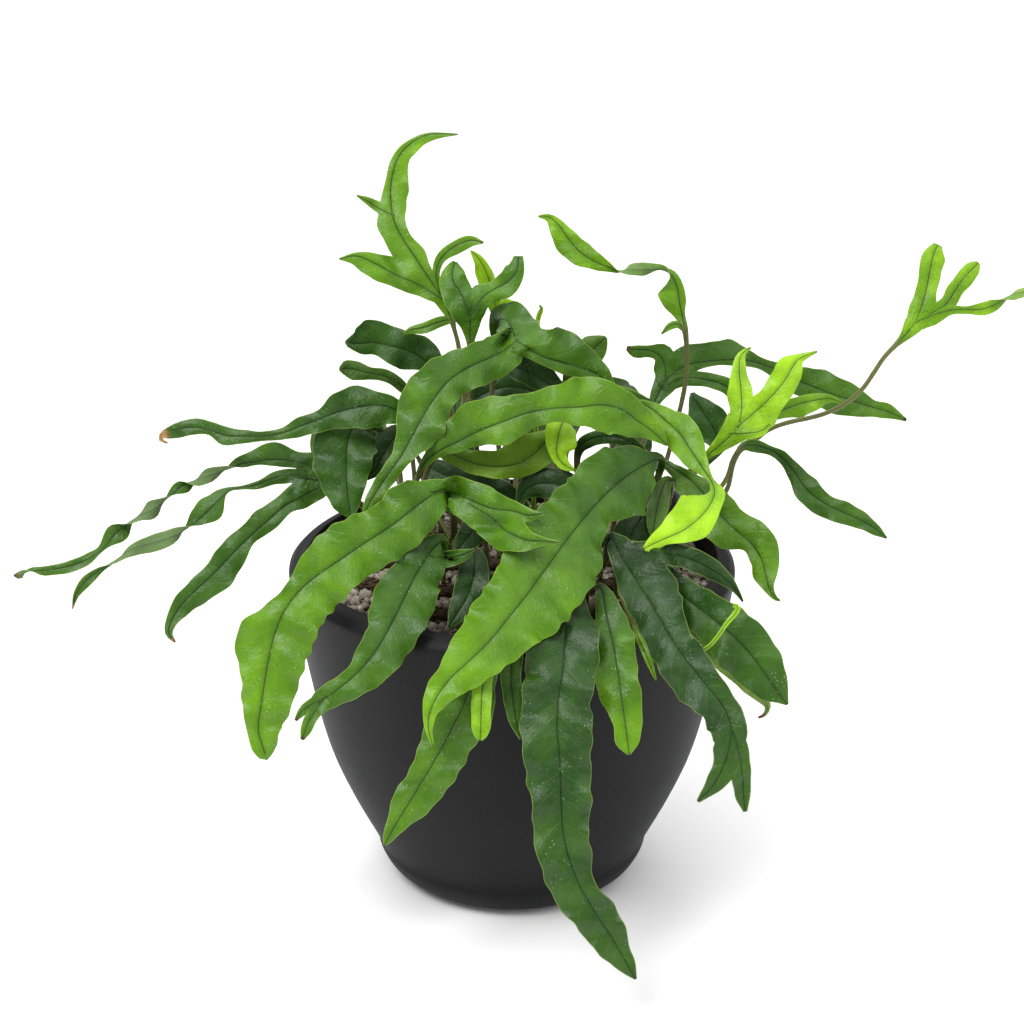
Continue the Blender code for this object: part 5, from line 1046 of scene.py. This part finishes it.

# Fronds to the right: older blades over the rim, painted darker as painted shade, a curled
# sprout, and bright young forked ones, the farthest on a long bare stalk.
RIGHT = [
    ("right_forked", "frond_shade", "middle", 40, (0.02, 0.4), 0, 0, 1.2,
     [(43, -22, 44, 1.4, 1.4), (45, -12, 52, 3, 3), (51, -22, 62, 10, 6),
      (58.6, -34, 71, 15.5, 10), (66, -46, 78, 13.6, 10.8), (73, -58, 84, 9, 12),
      (80, -68, 88, 9.6, 13.2), (88, -78, 91, 8, 13.6), (96, -88, 93, 6.8, 10.6),
      (100, -97, 94, 7.4, 11), (100.4, -103, 94, 7, 9)],
     [[(100.2, -100, 94, 6.6, 6), (99, -109, 93, 8, 7), (96.4, -117, 92, 7, 5),
       (92, -125, 91, 4, 4), (85, -132.4, 89, 0.8, 0.8)],
      [(101, -100, 94, 5, 5), (104, -111, 92, 4.6, 5), (105.4, -121, 90, 4, 5),
       (106, -130, 89, 3, 4), (106.6, -137, 88, 1, 1)],
      [(48, -16, 56, 3, 3), (57, -17.6, 58, 4.4, 5), (67, -18.6, 59, 5.4, 5.4),
       (77, -20.2, 60, 5.4, 5), (87, -24, 60, 5.4, 5), (95.6, -29.2, 59, 4, 3.8),
       (101.8, -35, 58, 1.8, 1.8), (105.6, -41, 57, 0.5, 0.5)]]),
    ("right_hanging", "frond_dark", "middle", 64, (0.16, 0.42), 0, 0, 1.1,
     [(63, -18, 36, 1.3, 1.3), (65.4, -23, 45, 3.2, 3), (71, -31.6, 54, 6.4, 5),
      (79, -39, 62, 8.4, 8), (88, -46, 67, 10, 10), (97.4, -53.4, 70, 12, 12),
      (106.4, -62, 71, 12.4, 14), (113.6, -71, 71, 11, 12), (119.4, -79.4, 70, 7.6, 9),
      (124, -85.6, 69, 3, 3), (126, -88, 69, 0.7, 0.7)],
     []),
    ("right_under", "frond_olive", "middle", 67.5, (0.6, 0.8), 5, 1, 1,
     [(72, -24, 32, 1.2, 1.2), (76, -32, 44, 2.4, 2.4), (81.6, -42, 54, 4.4, 5),
      (88, -53, 57, 5.6, 8), (96, -63.6, 57, 6, 7.6), (104.4, -73, 56, 5.6, 6),
      (112, -82, 55, 4, 4), (116.8, -88.4, 54, 1.6, 1.6), (115.6, -92.6, 54.6, 0.9, 0.9),
      (112.6, -94, 55, 0.5, 0.5)],
     []),
    ("sprout_crozier", "frond_young", "front", 58.5, (0.75, 0.95), 0, 0, 1,
     [(64, -34, 56, 0.9, 0.9), (70, -45, 66, 0.9, 0.9), (77, -57, 74, 0.9, 0.9),
      (84, -63.6, 79, 1, 1), (90, -61.4, 81, 1, 1), (94.4, -56.4, 82, 1, 1),
      (98.6, -50.4, 82, 1.1, 1.1), (102, -46.6, 82, 1.4, 1.4), (103.4, -43.4, 82.5, 1.3, 1.3),
      (101, -42.6, 83.5, 0.9, 0.9)],
     []),
    ("right_twisted", "frond_young", "centre", 38, (0.22, 1.05), 0, 0, 1,
     [(50, 38, 6, 1.2, 1.2), (56, 49, 14, 1.4, 1.4), (63, 47.6, 23, 3, 4), (70, 42, 29, 6.4, 8),
      (77, 35.4, 34, 9, 7.8), (82.4, 27.4, 39, 6.6, 7), (87, 20.4, 43, 3.6, 4),
      (91, 14.6, 47, 1.4, 1.4), (92.6, 8.6, 51, 5, 3), (90, 2.4, 55, 5.4, 10.5),
      (85, -3.4, 59, 8.4, 12.8), (78, -8.6, 62, 6.2, 10.6), (70.4, -12, 64, 3, 6.6),
      (64, -15, 65, 3.4, 3.4), (60.4, -16.8, 65, 1.2, 1.2)],
     []),
    ("right_small", "frond_olive", "centre", 52, (0.4, 0.46), 0, 0, 1,
     [(71, 2, -6, 1.1, 1.1), (73, 12, 2, 1.3, 1.3), (71, 14.4, 10, 2.4, 2.4),
      (68.4, 9.6, 19, 4.4, 4), (66.4, 2, 27, 5, 4.6), (65, -6, 33, 3.6, 3.6),
      (64.2, -12, 36, 0.8, 0.8)],
     []),
    ("right_drooping", "frond_mature", "centre", 62, (0.46, 0.66), 0, 0, 1.1,
     [(66, 14, -12, 1.2, 1.2), (69, 22, -4, 1.5, 1.5), (74, 19.6, 4, 2.6, 3.4),
      (81, 15, 11, 3.6, 8), (88, 8, 17, 8, 9), (95, -1, 21, 9, 12), (102, -8, 24, 9, 11),
      (109, -14, 26, 11, 5), (114, -21.4, 28, 9, 5.2), (116, -28.4, 29, 5.8, 6),
      (117.4, -34.4, 30, 2.6, 3), (120, -39, 31, 1.3, 1.3), (122.6, -40.6, 31, 0.5, 0.5)],
     []),
    ("right_bright_paw", "frond_young", "rear", 41, (0.72, 0.92), 0, 0, 1,
     [(70, 10, -30, 1.1, 1.1), (79, 17, -22, 1.1, 1.1), (88, 24.6, -14, 1.5, 1.5),
      (94, 29.6, -10, 3.4, 3), (100, 35, -8, 5.6, 5.4), (104, 40, -7, 7, 8)],
     [[(103.6, 38, -8, 4.4, 5), (105, 47, -7, 5.6, 5), (104.8, 55, -7, 6.4, 5.2),
       (104, 63, -8, 4, 3.6), (104.2, 70, -9, 2.4, 2.6), (106.6, 73.6, -10, 1.2, 1.2),
       (109.4, 75.2, -10, 0.4, 0.4)],
      [(103, 39, -8, 5, 6), (111.4, 46, -6, 6, 10.2), (118.4, 52.6, -4, 5.6, 7.6),
       (124.6, 60, -3, 7, 6.6), (128.6, 66.6, -2, 6.6, 5), (132, 70.4, -2, 2.4, 2.2),
       (139.6, 73.4, -1, 0.5, 0.5)],
      [(100, 35.6, -8, 3, 3), (107.6, 36, -7, 3, 2.8), (113.6, 37, -6, 3, 2.6),
       (118, 40, -6, 0.8, 0.8)]]),
    ("far_right", "frond_young", "rear", 62, (0.56, 0.82), 0, 0, 0.8,
     [(76, 0, -48, 1.1, 1.1), (89, 5, -53, 1.1, 1.1), (97.4, 14, -54, 1.1, 1.1),
      (101.4, 24.6, -52, 1.1, 1.1), (106, 31, -50, 1.1, 1.1), (112, 33.6, -48, 1.1, 1.1),
      (117, 37.4, -45, 1.1, 1.1), (125, 40.6, -42, 1.1, 1.1), (134, 42.6, -39, 1.1, 1.1),
      (143, 45, -36, 1.1, 1.1), (152, 49.4, -33, 1.1, 1.1), (160, 56, -30, 1.1, 1.1),
      (165.4, 63.6, -28, 1.1, 1.1), (170.4, 71, -26, 1.1, 1.1), (175.6, 76.4, -25, 1.3, 1.3),
      (180, 81, -24, 2.6, 2.6), (184, 86, -24, 5, 4.6)],
     [[(183, 84.6, -24, 3.6, 4), (187, 93, -24, 5.4, 7), (189.4, 101.4, -24, 4.6, 5),
       (191, 109.6, -24, 5, 5.4), (192.6, 117, -24, 5, 5.6), (194.8, 122.4, -24, 2, 2)],
      [(191, 90.4, -24, 3, 3), (198.4, 95, -25, 3.4, 4), (202.6, 101, -25, 4, 3.6),
       (206.6, 107, -25, 3.6, 4.6), (211, 111.6, -25, 3.6, 3.6), (213.4, 114, -25, 1, 1)],
      [(184, 86.4, -24, 4, 4), (192, 89.8, -24, 3.6, 4.6), (200, 92.2, -25, 2.4, 2.4),
       (207, 92.8, -25, 2, 2, 30), (214, 92.6, -25, 3, 2.8, 0), (220, 94.4, -25, 3, 3, 10),
       (225, 97.8, -25, 2, 2, 80), (231, 100, -25, 2.6, 2.4, 150), (237, 100.6, -25, 2, 2, 160),
       (243, 99, -25, 0.5, 0.5, 170)]]),
    ("right_drop", "frond_shade", "centre", 71, (0.34, 0.46), 0, 0, 1,
     [(81, -2, -31, 1.1, 1.1), (92, 2, -37, 1.1, 1.1), (98.6, 11, -39, 1.1, 1.1),
      (101.2, 22, -39, 1.1, 1.1), (105, 29.4, -38, 1.8, 1.8), (110.4, 30.4, -38, 3, 3.2),
      (117, 28.8, -38, 2, 2.6), (123, 25, -37, 3.2, 2.2), (129, 18.4, -36, 4, 3.6),
      (135, 10, -35, 6.4, 6), (143, 4, -34, 4.4, 6.4), (152, -0.4, -33, 5.2, 5.4),
      (160.6, -4.4, -32, 4, 3.8), (166.6, -8, -31, 2.2, 3), (171.4, -12, -31, 0.5, 0.5)],
     []),
    ("upper_right", "frond_shade", "rear", 28, (0.34, 0.56), 2, 0, 1,
     [(60, 32, -62, 1.3, 1.3), (63, 44, -64, 1.6, 1.6), (65.4, 50.6, -65, 3, 2.8),
      (68, 55.6, -66, 4.4, 4.4), (71, 60.6, -67, 6, 6)],
     [[(70.2, 57.6, -66.3, 3.6, 3), (70, 66, -66, 5.4, 5.6), (67.4, 71.6, -66, 3, 6),
       (62, 74, -65, 3.4, 2.4), (56, 74.2, -64, 3.6, 2), (52.4, 75, -64, 1, 1)],
      [(69.2, 58.8, -67.4, 4.6, 3.6), (76, 65, -68, 8, 5.4), (83, 68, -69, 9, 4),
       (91, 69, -70, 8.6, 2.4), (99, 69.6, -71, 9.6, 2.6), (106, 69.4, -72, 6.2, 2.8),
       (113, 68, -72, 3, 2.6), (121, 65, -73, 3.6, 4), (130, 60.4, -73, 6.4, 6),
       (139, 56.8, -73, 9, 7), (148, 53.4, -73, 8.2, 8.4), (156, 50.8, -72, 7, 7.4),
       (164, 48.2, -72, 3.6, 5), (172, 45.8, -71, 3.6, 3.2), (180.4, 42, -70, 0.6, 0.6)],
      [(69.8, 57.2, -66.8, 2.6, 2.6), (79, 61.4, -68.2, 3.4, 4), (88, 60.6, -69, 3.4, 3.4),
       (96, 58.4, -69, 4, 3.4), (103, 53.6, -69, 4.4, 3.4), (109, 47.6, -68, 4, 3),
       (113.4, 42.6, -67, 0.8, 0.8)]]),
    ("right_light", "frond_bright", "rear", 54, (0.65, 0.72), 0, 0, 1,
     [(80, 15, -58, 1.1, 1.1), (97, 29, -59, 1.1, 1.1), (110, 39.4, -58, 1.8, 1.8),
      (117, 43.4, -57, 2.6, 2.4), (124, 46.6, -57, 3.4, 4), (131, 49.2, -57, 3.6, 6),
      (138, 51, -57, 3.2, 4.8), (145, 51.8, -57, 2, 1.8), (151, 50, -57, 0.5, 0.5)],
     []),
    ("right_shadow", "frond_dark", "rear", 47, (0.18, 0.26), 0, 0, 1,
     [(78, 14, -46, 1.2, 1.2), (92, 26, -46, 2.4, 2.4), (94, 33, -46, 6.6, 5.4),
      (91, 40, -46, 9, 8.6), (87, 46, -46, 7.6, 7), (83.8, 51, -46, 3.6, 3.6),
      (82.4, 54.6, -46, 1, 1)],
     []),
    ("upper_twisted", "frond_bright", "rear", 35, (0.42, 0.84), 0, 0, 0.8,
     [(70, 22, -54, 1.1, 1.1), (75, 40, -54, 1.1, 1.1), (78.4, 54, -53, 1.1, 1.1),
      (80, 66, -52, 1.1, 1.1), (79.8, 77, -51, 1.2, 1.2), (78.8, 85, -50, 1.8, 1.6),
      (77.6, 91, -50, 4.4, 1.6), (76.4, 97, -49, 8.4, 3.4), (75.4, 103, -48, 8.6, 3),
      (72.6, 108.4, -47, 4, 2.6, 50), (68, 110.8, -46, 2.8, 2.8, 110),
      (61, 110.8, -45, 3.4, 3, 165), (54.4, 110.8, -45, 3, 2.6, 190),
      (49.4, 110.4, -45, 1.8, 1.8, 270), (44, 112, -45, 2.4, 2.6, 345),
      (37.6, 114.6, -45, 4, 4.6, 360), (31, 119, -45, 6.4, 5.4, 360),
      (26, 124.6, -45, 7, 4.4, 360), (21.8, 130.6, -45, 5.4, 2.8, 360),
      (17, 134.8, -45, 2.4, 1.6, 360), (12, 135.2, -44, 0.5, 0.5, 360)],
     [[(78.9, 83, -50, 1.2, 1.2), (76, 86, -49, 1.9, 1.7), (72, 85, -48, 1.9, 1.5),
       (68.4, 81.4, -47, 0.4, 0.4)]]),
]
place_fronds(RIGHT)

# Fronds inside the plant: short, old blades that close the gaps over the grains, painted
# dark as painted shade deep in the plant.  They grow from the same rootstocks as the ones
# around them.
INNER_FRONDS = [
    ("inner_low", "frond_dark", "front", -24, (0.12, 0.2), 0, 0, 1,
     [(-17, -30, 40, 1.2, 1.2), (-18, -20, 41, 1.2, 1.2), (-17.6, -17.6, 46, 3, 3),
      (-17, -25, 52, 6.6, 6.6), (-19.6, -37, 58, 7.4, 7.4), (-25, -46.4, 62, 4.6, 4.6),
      (-29, -53, 65, 0.8, 0.8)],
     []),
    ("inner_left", "frond_dark", "middle", -11, (0.12, 0.2), 0, 0, 1,
     [(-12, -12, 22, 1.2, 1.2), (-11, 2, 30, 3, 3), (-14, -3, 36, 7.4, 6.6), (-19, -10, 40, 7, 6),
      (-24.6, -17, 43, 3, 3), (-27, -20, 44, 0.8, 0.8)],
     []),
    ("inner_right", "frond_shade", "middle", 48, (0.2, 0.3), 0, 0, 1,
     [(57, -12, 14, 1.2, 1.2), (61, -1, 21, 2.4, 2.4), (58.4, -4, 29, 6.6, 6),
      (53.6, -11, 33, 8.6, 7.6), (50.4, -19.6, 36, 6.6, 6), (49, -27.6, 38, 0.9, 0.9)],
     []),
    ("inner_back", "frond_dark", "centre", -18, (0.14, 0.22), 0, 0, 1,
     [(-40, 13, -4, 1.2, 1.2), (-40, 21, 0, 2.6, 2.6), (-32, 17.6, 4, 6.4, 6), (-21, 13, 7, 8, 8),
      (-10, 9, 9, 8, 8), (1, 4, 10, 6, 6), (9, -2, 10, 1, 1)],
     []),
    ("inner_arch", "frond_shade", "centre", 26, (0.25, 0.35), 0, 0, 1,
     [(30, 14, -6, 1.2, 1.2), (30, 26, 2, 1.8, 1.8), (34, 32.4, 8, 3.2, 3.6),
      (43, 34.6, 13, 3, 3.4), (52, 33, 17, 3, 3.2), (59, 28, 19, 2.4, 2.4),
      (65, 21.6, 20, 0.6, 0.6)],
     []),
    ("inner_crown", "frond_dark", "centre", 14, (0.12, 0.2), 0, 0, 1,
     [(17, 42, -19, 1.2, 1.2), (15, 51, -19, 2.4, 2.4), (7, 56, -18, 6, 6), (-3, 57, -17.5, 7, 7),
      (-13, 54, -18, 6, 6), (-21, 49, -19, 1, 1)],
     []),
    ("inner_middle", "frond_dark", "middle", 4, (0.12, 0.2), 0, 0, 1,
     [(4, -4, 18, 1.2, 1.2), (4, 6, 20, 2.4, 2.4), (9, 12, 23, 6, 6), (18, 13, 26, 7.5, 7),
      (27, 10, 28, 7, 6), (36, 4, 30, 5, 5), (42, -2, 31, 1, 1)],
     []),
    ("inner_far_left", "frond_dark", "rear", -59, (0.14, 0.22), 0, 0, 1,
     [(-61, 26, -42, 1.2, 1.2), (-64, 34, -38, 3, 3), (-66, 41, -35, 6, 6), (-64, 47, -33, 5, 5),
      (-60, 51, -32, 1, 1)],
     []),
]
place_fronds(INNER_FRONDS)

# Fronds at the back: plain and forked blades that rise from the rear rootstock and arch
# away from the viewer over the far rim.
BACK = [
    ("back_left", "frond_dark", "rear", -52, (0.26, 0.36), 0, 0, 1.2,
     [(-54, 20, -66, 1.3, 1.3), (-60, 38, -78, 3, 3), (-66, 45, -92, 9, 9),
      (-74, 44, -110, 11, 11), (-82, 36, -127, 10, 10), (-86, 25, -141, 6, 6),
      (-88, 15, -150, 1, 1)],
     []),
    ("back_middle", "frond_mature", "rear", 2, (0.36, 0.5), 0, 0, 1.2,
     [(3, 34, -66, 1.3, 1.3), (6, 54, -82, 4, 4), (9, 58, -102, 11, 11), (11, 52, -124, 13, 13),
      (11, 38, -142, 12, 12), (9, 20, -154, 9, 9), (6, 2, -160, 1.2, 1.2)],
     []),
    ("back_right", "frond_dark", "rear", 16, (0.28, 0.38), 0, 0, 1.2,
     [(26, 30, -66, 1.3, 1.3), (30, 42, -74, 2.6, 2.6), (34.5, 50, -86, 6.5, 6.5),
      (40, 52.5, -99, 10, 10), (47, 49, -116, 12, 12), (52.5, 39, -132, 11, 11),
      (55.5, 25, -146, 7.6, 7.6), (57, 9, -157, 1.2, 1.2)],
     []),
    ("back_paw", "frond_shade", "rear", -27, (0.32, 0.44), 0, 0, 1.2,
     [(-26, 34, -68, 1.3, 1.3), (-26, 56, -82, 4, 4), (-27, 63, -98, 9, 9),
      (-30, 60, -114, 10, 10)],
     [[(-28, 61, -108, 6, 6), (-37, 54, -126, 7, 7), (-43, 42, -141, 6, 6), (-46, 28, -151, 1, 1)],
      [(-29, 61, -108, 6, 6), (-24, 50, -132, 8, 8), (-21, 36, -148, 7, 7), (-19, 20, -158, 1, 1)]]),
]
place_fronds(BACK)

# The white table that the planter stands on.  It is matt, and so wide that its far edge
# is out of sight behind the planter.
FLOOR_HALF = 40.0
PAPER_WHITE = (0.97, 0.97, 0.97)
floor = bpy.data.objects.new("table_top", bpy.data.meshes.new("table_top"))
floor.data.from_pydata([(-FLOOR_HALF, -FLOOR_HALF, 0.0), (FLOOR_HALF, -FLOOR_HALF, 0.0),
                        (FLOOR_HALF, FLOOR_HALF, 0.0), (-FLOOR_HALF, FLOOR_HALF, 0.0)], [],
                       [(0, 1, 2, 3)])
paper = Finish("white_paper", 0.9, Specular_IOR_Level=0.1)
paper.set("Base Color", PAPER_WHITE)
floor.data.materials.append(paper.material)
bpy.context.scene.collection.objects.link(floor)
